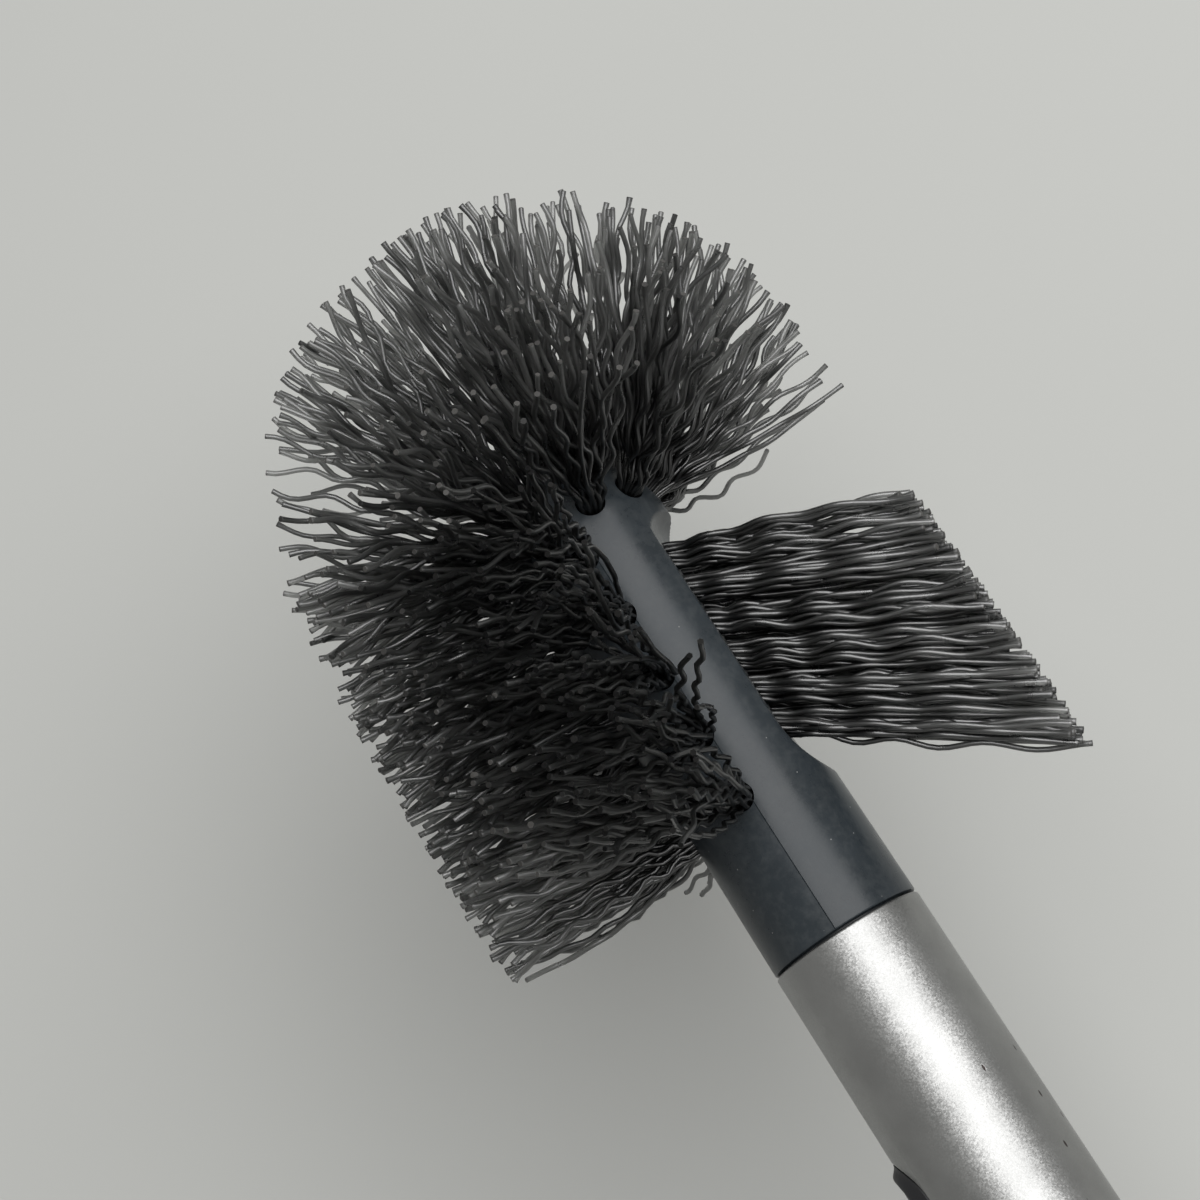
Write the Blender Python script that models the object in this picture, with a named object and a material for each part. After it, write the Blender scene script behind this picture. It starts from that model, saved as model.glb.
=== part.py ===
"""A toilet brush with an aluminium handle, a removable head and a swept rim cleaner.

The brush lies along X. The origin is the centre of the end cap's flat end, and +X runs
towards the head. The rim cleaner points to -Y, the main bristle field and the release button
to +Y, and the bare side of the head with its parting line faces +Z. All sizes are in metres.
"""

import math
import random

import bmesh
import bpy
from mathutils import Matrix, Vector

FIT_GAP = 0.0003

# Handle tube and its end cap
TUBE_RADIUS = 0.0110
TUBE_WALL = 0.0012
TUBE_LENGTH = 0.2800
TUBE_LIP = 0.0004
CAP_FLANGE = 0.0040
CAP_EDGE = 0.0012
CAP_PLUG_LENGTH = 0.0140
CAP_BODY_INSET = 0.0006
CAP_RING_WIDTH = 0.0012
CAP_RING_PITCH = 0.0040
CAP_RINGS = 3

# Head moulding: spigot in the tube, collar, stem and crown
SPIGOT_END_RING = 0.0110
SPIGOT_WALL = 0.0022
SPIGOT_LEAD_IN = 0.0006
SPIGOT_BORE_FLOOR = 0.0060
COLLAR_RADIUS = 0.0109
COLLAR_EDGE = 0.0002
COLLAR_LENGTH = 0.0192
WAIST_RADIUS = 0.01075
CROWN_RADIUS = 0.01115
CROWN_START = 0.0640
CROWN_HEIGHT = 0.0115
CROWN_STEPS = 6
PARTING_STEP = 0.00012
PARTING_HALF_ANGLE = math.radians(0.8)

# Flat on the rim side of the stem, and the concave run-outs at its two ends
FLAT_DISTANCE = 0.0081
FLAT_LOW_END = 0.0280
FLAT_HIGH_END = 0.0584
LOW_RUN_OUT_RADIUS = 0.0167
HIGH_RUN_OUT_RADIUS = 0.0035
RUN_OUT_STEPS = 5

# Release button on its sprung tongue
BUTTON_START = 0.0280
BUTTON_LENGTH = 0.0170
BUTTON_WIDTH = 0.0124
BUTTON_PROUD = 0.0010
BUTTON_EDGE = 0.0008
TONGUE_ROOT = 0.0080
TONGUE_WIDTH = 0.0100
TONGUE_THICKNESS = 0.0016
TONGUE_INNER = 0.0064
WINDOW_CLEARANCE = 0.0004

# Bristle tufts: a plug in a blind hole, with strands that fan out to the trimmed surface
PLUG_RADIUS = 0.0020
FIELD_HOLE_DEPTH = 0.0048
CROWN_HOLE_DEPTH = 0.0034
PLUG_SIDES = 8
STRAND_RADIUS = 0.00048
STRAND_SIDES = 3
ROOT_RING_RADIUS = 0.0012
CRIMP = 0.0008
TRIM_RADIUS = 0.0415
TRIM_UNEVENNESS = 0.0010
DOME_CENTRE = 0.0765

FIELD_START = 0.0213
FIELD_PITCH = 0.0097
FIELD_EDGE_ANGLE = math.radians(97.0)
FIELD_EDGE_AIM = math.radians(104.0)
FIELD_ROWS = 5
FIELD_ROW_TUFTS = 5
FIELD_FAN = 0.0041
FIELD_FAN_ANGLE = math.radians(15.0)
FIELD_STRANDS = 8
FIELD_SEGMENTS = 2

CROWN_RING_HEIGHTS = (0.0664, 0.0728)
CROWN_RING_COUNTS = (10, 5)
CROWN_RING_RISES = (math.radians(18.0), math.radians(52.0))
CROWN_RING_SPREADS = (math.radians(14.0), math.radians(24.0))
CROWN_RISE_FAN = math.radians(14.0)
CROWN_TOP_FAN = math.radians(18.0)
CROWN_STRANDS = 8
CROWN_SEGMENTS = 2

RIM_START = 0.0280
RIM_PITCH = 0.0056
RIM_NEAR_TUFTS = 6
RIM_ROW_OFFSET = 0.0025
RIM_LOW_LEAN = math.radians(33.0)
RIM_HIGH_LEAN = math.radians(19.0)
RIM_TIP_OFFSET = 0.0042
RIM_FAN = 0.0027
RIM_SIDE_FAN = 0.0035
RIM_STRANDS = 7
RIM_SEGMENTS = 3

ROUND_SEGMENTS = 40
SMOOTH_ANGLE = math.radians(35.0)

TUBE_START = CAP_FLANGE + FIT_GAP
TUBE_END = TUBE_START + TUBE_LENGTH
JOINT_X = TUBE_END + FIT_GAP
TUBE_BORE_RADIUS = TUBE_RADIUS - TUBE_WALL
SPIGOT_LENGTH = BUTTON_START + BUTTON_LENGTH + SPIGOT_END_RING
SPIGOT_RADIUS = TUBE_BORE_RADIUS - FIT_GAP
SPIGOT_BORE_RADIUS = SPIGOT_RADIUS - SPIGOT_WALL
CROWN_TOP = CROWN_START + CROWN_HEIGHT
HOLE_RADIUS = PLUG_RADIUS + FIT_GAP
CUT_MARGIN = 0.0020


def clear_scene():
    """Remove every object from the scene."""
    for item in list(bpy.data.objects):
        bpy.data.objects.remove(item, do_unlink=True)


def make_material(name, colour, roughness, metallic=0.0):
    """Return a Principled material with a plain colour."""
    material = bpy.data.materials.new(name)
    material.use_nodes = True
    shader = material.node_tree.nodes["Principled BSDF"]
    shader.inputs["Base Color"].default_value = (*colour, 1.0)
    shader.inputs["Roughness"].default_value = roughness
    shader.inputs["Metallic"].default_value = metallic
    material.diffuse_color = (*colour, 1.0)
    return material


def add_empty(name, location, parent=None):
    """Return an empty that carries other objects."""
    empty = bpy.data.objects.new(name, None)
    bpy.context.collection.objects.link(empty)
    empty.parent = parent
    empty.location = location
    return empty


def add_object(name, bm, material, parent=None, smooth=True):
    """Turn a bmesh into a linked object and return it."""
    bmesh.ops.recalc_face_normals(bm, faces=bm.faces)
    mesh = bpy.data.meshes.new(name)
    bm.to_mesh(mesh)
    bm.free()
    if smooth:
        mesh.shade_smooth()
        mesh.set_sharp_from_angle(angle=SMOOTH_ANGLE)
    if material is not None:
        mesh.materials.append(material)
    item = bpy.data.objects.new(name, mesh)
    bpy.context.collection.objects.link(item)
    item.parent = parent
    return item


def add_cutter(name, bm, parent):
    """Turn a bmesh into a hidden helper for a Boolean."""
    cutter = add_object(name, bm, None, parent, smooth=False)
    cutter.hide_render = True
    cutter.display_type = "WIRE"
    return cutter


def cut(item, cutter):
    """Subtract a cutter from an object with a Boolean modifier."""
    modifier = item.modifiers.new(cutter.name, "BOOLEAN")
    modifier.operation = "DIFFERENCE"
    modifier.solver = "EXACT"
    modifier.object = cutter


def around(x, radius, angle):
    """Return the point at a radius from the X axis; angle 0 is the rim side, 90 degrees is +Z."""
    return Vector((x, -radius * math.cos(angle), radius * math.sin(angle)))


def lathe(profile, segments=ROUND_SEGMENTS):
    """Return a bmesh turned round X from (x, radius) points; radius 0 closes an end."""
    bm = bmesh.new()
    rings = []
    for x, radius in profile:
        if radius == 0:
            rings.append([bm.verts.new((x, 0, 0))])
            continue
        turn = (math.tau * k / segments for k in range(segments))
        rings.append([bm.verts.new(around(x, radius, angle)) for angle in turn])
    pairs = list(zip(rings, rings[1:]))
    if len(rings[0]) > 1:
        pairs.append((rings[-1], rings[0]))
    for low, high in pairs:
        bridge_rings(bm, low, high)
    return bm


def bridge_rings(bm, low, high):
    """Join two rings of vertices with faces; a ring of one vertex is a pole."""
    count = max(len(low), len(high))
    for k in range(count):
        after = (k + 1) % count
        if len(low) == 1:
            bm.faces.new((low[0], high[after], high[k]))
        elif len(high) == 1:
            bm.faces.new((low[k], low[after], high[0]))
        else:
            bm.faces.new((low[k], low[after], high[after], high[k]))


def prism(outline, depth_vector):
    """Return a bmesh of a flat outline pushed along a vector."""
    bm = bmesh.new()
    base = bm.faces.new([bm.verts.new(point) for point in outline])
    pushed = bmesh.ops.extrude_face_region(bm, geom=[base])["geom"]
    moved = [part for part in pushed if isinstance(part, bmesh.types.BMVert)]
    bmesh.ops.translate(bm, verts=moved, vec=depth_vector)
    return bm


def handle_tube(material, handle):
    """The aluminium tube, with a rounded lip at each end and a window for the button."""
    inner = TUBE_BORE_RADIUS
    profile = [
        (0, inner),
        (0, TUBE_RADIUS - TUBE_LIP),
        (TUBE_LIP, TUBE_RADIUS),
        (TUBE_LENGTH - TUBE_LIP, TUBE_RADIUS),
        (TUBE_LENGTH, TUBE_RADIUS - TUBE_LIP),
        (TUBE_LENGTH, inner),
    ]
    tube = add_object("handle_tube", lathe(profile), material, handle)
    tube.location.x = TUBE_START
    window = prism(pill_outline(WINDOW_CLEARANCE, TONGUE_INNER), Vector((0, TUBE_RADIUS, 0)))
    cutter = add_cutter("cut_tube_window", window, handle)
    cutter.location.x = JOINT_X
    cut(tube, cutter)
    return tube


def end_cap(material, handle):
    """The plug in the tube's far end: a flange with a flat end and three sealing rings."""
    ring_radius = TUBE_BORE_RADIUS - FIT_GAP
    body_radius = ring_radius - CAP_BODY_INSET
    profile = [(0, 0), (0, TUBE_RADIUS - CAP_EDGE)]
    profile += [(CAP_EDGE, TUBE_RADIUS), (CAP_FLANGE, TUBE_RADIUS), (CAP_FLANGE, body_radius)]
    for ring in range(1, CAP_RINGS + 1):
        start = CAP_FLANGE + ring * CAP_RING_PITCH - CAP_RING_WIDTH
        profile += [(start, body_radius), (start, ring_radius)]
        profile += [(start + CAP_RING_WIDTH, ring_radius), (start + CAP_RING_WIDTH, body_radius)]
    profile += [(CAP_FLANGE + CAP_PLUG_LENGTH, body_radius), (CAP_FLANGE + CAP_PLUG_LENGTH, 0)]
    return add_object("end_cap", lathe(profile), material, handle)


def pill_outline(growth, height, segments=8):
    """Return the button's outline, seen from +Y and grown all round, at a height on Y."""
    half_width = BUTTON_WIDTH / 2
    near = -BUTTON_START - half_width
    far = -BUTTON_START - BUTTON_LENGTH + half_width
    points = []
    for centre, first in ((near, -90), (far, 90)):
        for step in range(segments + 1):
            angle = math.radians(first + 180 * step / segments)
            reach = half_width + growth
            x = centre + reach * math.cos(angle)
            points.append(Vector((x, height, reach * math.sin(angle))))
    return points


def snap_button(material, pivot):
    """The button and its flexing tongue in one moulding, placed on the tongue's bending line."""
    middle = TONGUE_INNER + TONGUE_THICKNESS / 2
    bm = bmesh.new()
    steps = ((0, TONGUE_INNER, None), (0, None, 0), (BUTTON_EDGE, None, BUTTON_PROUD))
    rings = []
    for inset, height, proud in steps:
        ring = []
        for point in pill_outline(-inset, 0):
            y = height
            if y is None:
                y = math.sqrt((TUBE_RADIUS + proud) ** 2 - point.z**2)
            ring.append(bm.verts.new((point.x + TONGUE_ROOT, y - middle, point.z)))
        rings.append(ring)
    for low, high in zip(rings, rings[1:]):
        bridge_rings(bm, low, high)
    bm.faces.new(rings[0])
    half = len(rings[-1]) // 2
    top = rings[-1]
    for k in range(half - 1):
        bm.faces.new((top[k], top[k + 1], top[2 * half - 2 - k], top[2 * half - 1 - k]))
    button = add_object("snap_button", bm, material, pivot)

    tongue_end = BUTTON_START + BUTTON_WIDTH / 2
    low_corner = Vector((-FIT_GAP, -TONGUE_THICKNESS / 2, -TONGUE_WIDTH / 2))
    outline = [
        low_corner,
        Vector((TONGUE_ROOT - tongue_end, low_corner.y, low_corner.z)),
        Vector((TONGUE_ROOT - tongue_end, low_corner.y, -low_corner.z)),
        Vector((low_corner.x, low_corner.y, -low_corner.z)),
    ]
    tongue = add_cutter("join_tongue", prism(outline, Vector((0, TONGUE_THICKNESS, 0))), pivot)
    modifier = button.modifiers.new("tongue", "BOOLEAN")
    modifier.operation = "UNION"
    modifier.solver = "EXACT"
    modifier.object = tongue
    return button


def core_radius(x):
    """Return the round radius of the collar, stem and crown, without the parting step."""
    if x <= COLLAR_LENGTH:
        return COLLAR_RADIUS + (WAIST_RADIUS - COLLAR_RADIUS) * x / COLLAR_LENGTH
    if x <= CROWN_START:
        share = (x - COLLAR_LENGTH) / (CROWN_START - COLLAR_LENGTH)
        return WAIST_RADIUS + (CROWN_RADIUS - WAIST_RADIUS) * share
    rise = min((x - CROWN_START) / CROWN_HEIGHT, 1)
    return CROWN_RADIUS * math.sqrt(1 - rise**2)


def core_section_angles():
    """Return the angles of a section's points, with a close pair at each parting line."""
    quarter = math.tau / 4
    angles = []
    for k in range(ROUND_SEGMENTS):
        angle = math.tau * k / ROUND_SEGMENTS
        if min(abs(angle - quarter), abs(angle - 3 * quarter)) < PARTING_HALF_ANGLE:
            angles += [angle - PARTING_HALF_ANGLE, angle + PARTING_HALF_ANGLE]
        else:
            angles.append(angle)
    return angles


def core_blank():
    """Return the turned blank of the head moulding; its field half stands a little proud."""
    profile = [(-SPIGOT_LENGTH, SPIGOT_RADIUS - SPIGOT_LEAD_IN, False)]
    profile += [(-SPIGOT_LENGTH + SPIGOT_LEAD_IN, SPIGOT_RADIUS, False), (0, SPIGOT_RADIUS, False)]
    profile += [(0, COLLAR_RADIUS - COLLAR_EDGE, True)]
    stations = [COLLAR_EDGE, COLLAR_LENGTH, FLAT_LOW_END, FLAT_HIGH_END, CROWN_START]
    for step in range(1, CROWN_STEPS):
        angle = math.radians(90 * step / CROWN_STEPS)
        stations.append(CROWN_START + CROWN_HEIGHT * math.sin(angle))
    profile += [(x, core_radius(x), x < CROWN_TOP) for x in stations]
    angles = core_section_angles()
    bm = bmesh.new()
    rings = []
    for x, radius, stepped in profile:
        fade = min(1, radius / CROWN_RADIUS)
        ring = []
        for angle in angles:
            on_field_half = math.cos(angle) < -math.sin(PARTING_HALF_ANGLE) / 2
            step = PARTING_STEP * fade if stepped and on_field_half else 0
            ring.append(bm.verts.new(around(x, radius + step, angle)))
        rings.append(ring)
    rings.append([bm.verts.new((CROWN_TOP, 0, 0))])
    for low, high in zip(rings, rings[1:]):
        bridge_rings(bm, low, high)
    bm.faces.new(rings[0])
    return bm


def flat_outline():
    """Return the outline, in X and Y, of the cut that leaves the flat and its run-outs."""
    points = []
    for step in range(RUN_OUT_STEPS + 1):
        angle = math.radians(45 * (1 - step / RUN_OUT_STEPS))
        x = FLAT_LOW_END - LOW_RUN_OUT_RADIUS * math.sin(angle)
        y = FLAT_DISTANCE + LOW_RUN_OUT_RADIUS * (1 - math.cos(angle))
        points.append(Vector((x, -y, 0)))
    for step in range(RUN_OUT_STEPS + 1):
        angle = math.radians(90 * step / RUN_OUT_STEPS)
        x = FLAT_HIGH_END + HIGH_RUN_OUT_RADIUS * math.sin(angle)
        y = FLAT_DISTANCE + HIGH_RUN_OUT_RADIUS * (1 - math.cos(angle))
        points.append(Vector((x, -y, 0)))
    outer = -(CROWN_RADIUS + 2 * CUT_MARGIN)
    points.append(Vector((points[-1].x, outer, 0)))
    points.append(Vector((points[0].x, outer, 0)))
    return points


def box(low, high):
    """Return a bmesh box between two corners."""
    outline = [
        Vector((low[0], low[1], low[2])),
        Vector((high[0], low[1], low[2])),
        Vector((high[0], high[1], low[2])),
        Vector((low[0], high[1], low[2])),
    ]
    return prism(outline, Vector((0, 0, high[2] - low[2])))


def head_core(material, head, seats):
    """The head moulding: blank, flat, spigot bore, tongue slot and a blind hole for each tuft."""
    core = add_object("head_core", core_blank(), material, head)

    half = CROWN_RADIUS + CUT_MARGIN
    outline = [point - Vector((0, 0, half)) for point in flat_outline()]
    cut(core, add_cutter("cut_rim_flat", prism(outline, Vector((0, 0, 2 * half))), head))

    open_end = -SPIGOT_LENGTH - CUT_MARGIN
    bore = [(open_end, 0), (open_end, SPIGOT_BORE_RADIUS)]
    bore += [(-SPIGOT_BORE_FLOOR, SPIGOT_BORE_RADIUS), (-SPIGOT_BORE_FLOOR, 0)]
    cut(core, add_cutter("cut_spigot_bore", lathe(bore), head))

    half_slot = BUTTON_WIDTH / 2 + FIT_GAP
    slot_end = -BUTTON_START - BUTTON_LENGTH - WINDOW_CLEARANCE
    slot = box((slot_end, 0, -half_slot), (-TONGUE_ROOT, TUBE_RADIUS, half_slot))
    cut(core, add_cutter("cut_tongue_slot", slot, head))

    holes = bmesh.new()
    for seat, depth in seats:
        add_hole(holes, seat, depth)
    cut(core, add_cutter("cut_tuft_holes", holes, head))
    return core


def add_hole(bm, seat, depth):
    """Add the cutter of one blind hole: a prism along the seat's own Z axis."""
    rings = []
    for z in (-depth, CUT_MARGIN):
        rings.append([bm.verts.new(seat @ point) for point in plug_ring(HOLE_RADIUS, z)])
    bridge_rings(bm, rings[0], rings[1])
    bm.faces.new(reversed(rings[0]))
    bm.faces.new(rings[1])


def plug_ring(radius, z):
    """Return the corners of a tuft's plug or hole at a height on its axis."""
    turn = [math.tau * (k + 0.5) / PLUG_SIDES for k in range(PLUG_SIDES)]
    return [Vector((radius * math.cos(angle), radius * math.sin(angle), z)) for angle in turn]


def seat_matrix(origin, outward, along):
    """Return a tuft's seat: Z points outward, X lies in the plane of outward and along."""
    z_axis = outward.normalized()
    x_axis = (along - z_axis * along.dot(z_axis)).normalized()
    y_axis = z_axis.cross(x_axis)
    turned = Matrix((x_axis, y_axis, z_axis)).transposed().to_4x4()
    return Matrix.Translation(origin) @ turned


def trimmed_tip(root, direction):
    """Return where a strand meets the trimmed surface: a cylinder, then a dome."""
    way = direction.normalized()
    a = way.y**2 + way.z**2
    if a > 1e-9:
        b = root.y * way.y + root.z * way.z
        c = root.y**2 + root.z**2 - TRIM_RADIUS**2
        tip = root + way * ((math.sqrt(b * b - a * c) - b) / a)
        if tip.x <= DOME_CENTRE:
            return tip
    offset = root - Vector((DOME_CENTRE, 0, 0))
    b = offset.dot(way)
    c = offset.length_squared - TRIM_RADIUS**2
    return root + way * (math.sqrt(b * b - c) - b)


def root_spots(strands):
    """Return the places of a tuft's strands on its plug: one in the middle, the rest round it."""
    spots = [(0.0, 0.0)]
    for k in range(strands - 1):
        angle = math.tau * k / (strands - 1)
        spots.append((math.cos(angle), math.sin(angle)))
    return spots


def add_tuft(name, seat, depth, strands, segments, aim, material, head, rng):
    """Add one tuft: a plug with strands fused to its top face.

    aim(u, v, root) gives the direction of the strand that stands at (u, v) on the plug's
    unit disc, in the head's own space.
    """
    to_local = seat.inverted()
    bm = bmesh.new()
    bottom = [bm.verts.new(point) for point in plug_ring(PLUG_RADIUS, FIT_GAP - depth)]
    top = [bm.verts.new(point) for point in plug_ring(PLUG_RADIUS, 0)]
    bridge_rings(bm, bottom, top)
    bm.faces.new(reversed(bottom))
    border = [edge for edge in bm.edges if edge.verts[0] in top and edge.verts[1] in top]
    for u, v in root_spots(strands):
        root = Vector((u * ROOT_RING_RADIUS, v * ROOT_RING_RADIUS, 0))
        world_root = seat @ root
        tip = to_local @ trimmed_tip(world_root, aim(u, v, world_root))
        tip -= (tip - root).normalized() * TRIM_UNEVENNESS * rng.random()
        border += add_strand(bm, root, tip, segments)
    bmesh.ops.triangle_fill(bm, edges=border, use_beauty=True, normal=Vector((0, 0, 1)))
    tuft = add_object(name, bm, material, head, smooth=False)
    tuft.matrix_local = seat
    return tuft


def add_strand(bm, root, tip, segments):
    """Add one crimped strand from root to tip and return the edges of its root ring."""
    rings = []
    for station in range(segments + 1):
        centre = root.lerp(tip, station / segments)
        if 0 < station < segments:
            centre.x += CRIMP * (-1) ** station
        ring = []
        for side in range(STRAND_SIDES):
            angle = math.tau * side / STRAND_SIDES
            arm = Vector((math.cos(angle), math.sin(angle), 0)) * STRAND_RADIUS
            ring.append(bm.verts.new(centre + arm))
        rings.append(ring)
    for low, high in zip(rings, rings[1:]):
        bridge_rings(bm, low, high)
    bm.faces.new(rings[-1])
    return [bm.edges.get((rings[0][k - 1], rings[0][k])) for k in range(STRAND_SIDES)]


def field_tufts():
    """Yield seat, depth, strands, segments and aim of each tuft of the main field."""
    for row in range(FIELD_ROWS):
        share = row / (FIELD_ROWS - 1)
        angle = FIELD_EDGE_ANGLE + share * (math.tau - 2 * FIELD_EDGE_ANGLE)
        aimed = FIELD_EDGE_AIM + share * (math.tau - 2 * FIELD_EDGE_AIM)
        shift = row % 2
        for place in range(FIELD_ROW_TUFTS - shift):
            x = FIELD_START + (place + shift / 2) * FIELD_PITCH
            origin = around(x, core_radius(x) + PARTING_STEP, angle)
            seat = seat_matrix(origin, around(0, 1, angle), Vector((1, 0, 0)))

            def aim(u, v, root, x=x, aimed=aimed):
                target = around(x + u * FIELD_FAN, TRIM_RADIUS, aimed + v * FIELD_FAN_ANGLE)
                return target - root

            yield seat, FIELD_HOLE_DEPTH, FIELD_STRANDS, FIELD_SEGMENTS, aim


def crown_direction(rise, angle):
    """Return the unit direction with a rise towards +X, at an angle round the axis."""
    return around(math.sin(rise), math.cos(rise), angle)


def crown_tufts():
    """Yield seat, depth, strands, segments and aim of each tuft of the crown."""
    rings = zip(CROWN_RING_HEIGHTS, CROWN_RING_COUNTS, CROWN_RING_RISES, CROWN_RING_SPREADS)
    for x, count, rise, spread in rings:
        for k in range(count):
            angle = math.tau * k / count
            seat = seat_matrix(
                around(x, core_radius(x), angle), crown_direction(rise, angle), Vector((1, 0, 0))
            )

            def aim(u, v, root, rise=rise, angle=angle, spread=spread):
                return crown_direction(rise + u * CROWN_RISE_FAN, angle + v * spread)

            yield seat, CROWN_HOLE_DEPTH, CROWN_STRANDS, CROWN_SEGMENTS, aim

    top = seat_matrix(Vector((CROWN_TOP, 0, 0)), Vector((1, 0, 0)), Vector((0, 1, 0)))

    def aim_up(u, v, root):
        return Vector((1, 0, 0)) + (top.to_3x3() @ Vector((u, v, 0))) * math.tan(CROWN_TOP_FAN)

    yield top, CROWN_HOLE_DEPTH, CROWN_STRANDS, CROWN_SEGMENTS, aim_up


def rim_tufts():
    """Yield seat, depth, strands, segments and aim of each tuft of the rim cleaner."""
    span = (RIM_NEAR_TUFTS - 1) * RIM_PITCH
    for side, count, shift in ((1, RIM_NEAR_TUFTS, 0.0), (-1, RIM_NEAR_TUFTS - 1, 0.5)):
        for place in range(count):
            offset = (place + shift) * RIM_PITCH
            x = RIM_START + offset
            lean = RIM_LOW_LEAN + (RIM_HIGH_LEAN - RIM_LOW_LEAN) * offset / span
            tip_x = x - (TRIM_RADIUS - FLAT_DISTANCE) * math.tan(lean)
            tip = Vector((tip_x, -TRIM_RADIUS, side * RIM_TIP_OFFSET))
            origin = Vector((x, -FLAT_DISTANCE, side * RIM_ROW_OFFSET))
            seat = seat_matrix(origin, tip - origin, Vector((1, 0, 0)))

            def aim(u, v, root, tip=tip):
                return tip + Vector((u * RIM_FAN, 0, v * RIM_SIDE_FAN)) - root

            yield seat, FIELD_HOLE_DEPTH, RIM_STRANDS, RIM_SEGMENTS, aim


def build():
    """Build the whole brush."""
    clear_scene()
    aluminium = make_material("satin_aluminium", (0.62, 0.62, 0.61), 0.38, 1.0)
    slate = make_material("slate_plastic", (0.055, 0.064, 0.072), 0.42)
    black = make_material("black_plastic", (0.018, 0.018, 0.020), 0.40)
    bristle = make_material("charcoal_bristle", (0.075, 0.076, 0.077), 0.35)

    handle = add_empty("handle_frame", (0, 0, 0))
    head = add_empty("head_frame", (JOINT_X, 0, 0), handle)
    tongue_middle = TONGUE_INNER + TONGUE_THICKNESS / 2
    pivot = add_empty("button_pivot", (-TONGUE_ROOT, tongue_middle, 0), head)

    handle_tube(aluminium, handle)
    end_cap(black, handle)
    snap_button(black, pivot)

    rng = random.Random(7)
    seats = []
    groups = (("field_tuft", field_tufts), ("crown_tuft", crown_tufts), ("rim_tuft", rim_tufts))
    for prefix, tufts in groups:
        for number, (seat, depth, strands, segments, aim) in enumerate(tufts(), start=1):
            name = f"{prefix}_{number:02d}"
            add_tuft(name, seat, depth, strands, segments, aim, bristle, head, rng)
            seats.append((seat, depth))
    head_core(slate, head, seats)


build()
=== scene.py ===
"""Looks of the toilet brush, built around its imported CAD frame.

The brush lies along X, in metres. The rim cleaner points to -Y, the main bristle field and the
release button to +Y, and the bare side of the head with its parting line faces +Z, up to the
camera. Angles round the axis start at the rim side and reach +Z at 90 degrees.
"""

import logging
import math
import random
from collections.abc import Callable, Iterator, Sequence
from dataclasses import dataclass
from enum import Enum

import bmesh
import bpy
import numpy as np
from mathutils import Matrix, Vector


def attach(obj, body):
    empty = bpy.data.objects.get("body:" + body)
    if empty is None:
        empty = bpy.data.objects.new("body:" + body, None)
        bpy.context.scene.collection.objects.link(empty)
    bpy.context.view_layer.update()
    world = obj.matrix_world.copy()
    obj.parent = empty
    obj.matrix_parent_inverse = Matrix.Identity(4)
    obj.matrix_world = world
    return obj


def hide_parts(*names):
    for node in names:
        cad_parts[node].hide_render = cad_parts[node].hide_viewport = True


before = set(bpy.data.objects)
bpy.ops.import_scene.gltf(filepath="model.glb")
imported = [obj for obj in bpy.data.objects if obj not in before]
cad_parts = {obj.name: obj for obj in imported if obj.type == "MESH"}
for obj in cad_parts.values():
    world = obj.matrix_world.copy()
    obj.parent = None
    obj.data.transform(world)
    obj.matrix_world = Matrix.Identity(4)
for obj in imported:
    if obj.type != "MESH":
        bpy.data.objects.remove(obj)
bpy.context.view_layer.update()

LOG = logging.getLogger("toilet_brush")
SEED = 20
EDGE_SEGMENTS = 2

Point = tuple[float, float, float]
Colour = tuple[float, float, float]
Range = tuple[float, float]
Profile = Sequence[tuple[float, float]]
Aim = Callable[[float, float, Vector], Vector]
Input = float | tuple | bpy.types.NodeSocket

# Places and sizes that several pieces share, in metres.
JOINT_X = 0.2846
TUBE_START = 0.0043
TUBE_RADIUS = 0.0110
FIT_GAP = 0.0003
MERGE_DISTANCE = 1e-6

X_AXIS = Vector((1, 0, 0))
Z_AXIS = Vector((0, 0, 1))
# Leans the side that waves are measured from, so that it is never parallel to a filament.
SKEW = Vector((0.31, 0.17, 0.23)) * 0.2

# Ranges that several materials share.
RISING: Range = (0.0, 1.0)
FALLING: Range = (1.0, 0.0)
CLOUD_SPAN: Range = (0.3, 0.7)


class Body(Enum):
    """The bodies of the frame that a piece can ride on."""

    HANDLE = "handle"
    HEAD = "head"
    BUTTON = "button"


def around(x: float, radius: float, angle: float) -> Vector:
    """Return a point at a radius from the X axis.

    Args:
        x: Place along the axis.
        radius: Distance from the axis.
        angle: Turn round the axis, 0 on the rim side and a quarter turn at +Z.

    Returns:
        The point.
    """
    return Vector((x, -radius * math.cos(angle), radius * math.sin(angle)))


def smooth_step(share: float) -> float:
    """Return a share from 0 to 1 eased at both ends."""
    held = min(max(share, 0.0), 1.0)
    return held * held * (3 - 2 * held)


def turned(profile: Profile, segments: int, closed: bool) -> bmesh.types.BMesh:
    """Spin a profile round the X axis.

    Args:
        profile: Points (x, radius); a radius of 0 closes an end.
        segments: Steps of the full turn.
        closed: True for a ring, whose last point joins the first.

    Returns:
        A closed shell whose faces point out.
    """
    bm = bmesh.new()
    line = [bm.verts.new(around(x, radius, 0)) for x, radius in profile]
    pairs = list(zip(line, line[1:]))
    if closed:
        pairs.append((line[-1], line[0]))
    edges = [bm.edges.new(pair) for pair in pairs]
    bmesh.ops.spin(
        bm, geom=line + edges, cent=(0, 0, 0), axis=(1, 0, 0), dvec=(0, 0, 0),
        angle=math.tau, steps=segments, use_merge=True, use_duplicate=False,
    )
    bmesh.ops.remove_doubles(bm, verts=bm.verts, dist=MERGE_DISTANCE)
    bmesh.ops.recalc_face_normals(bm, faces=bm.faces)
    return bm


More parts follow.
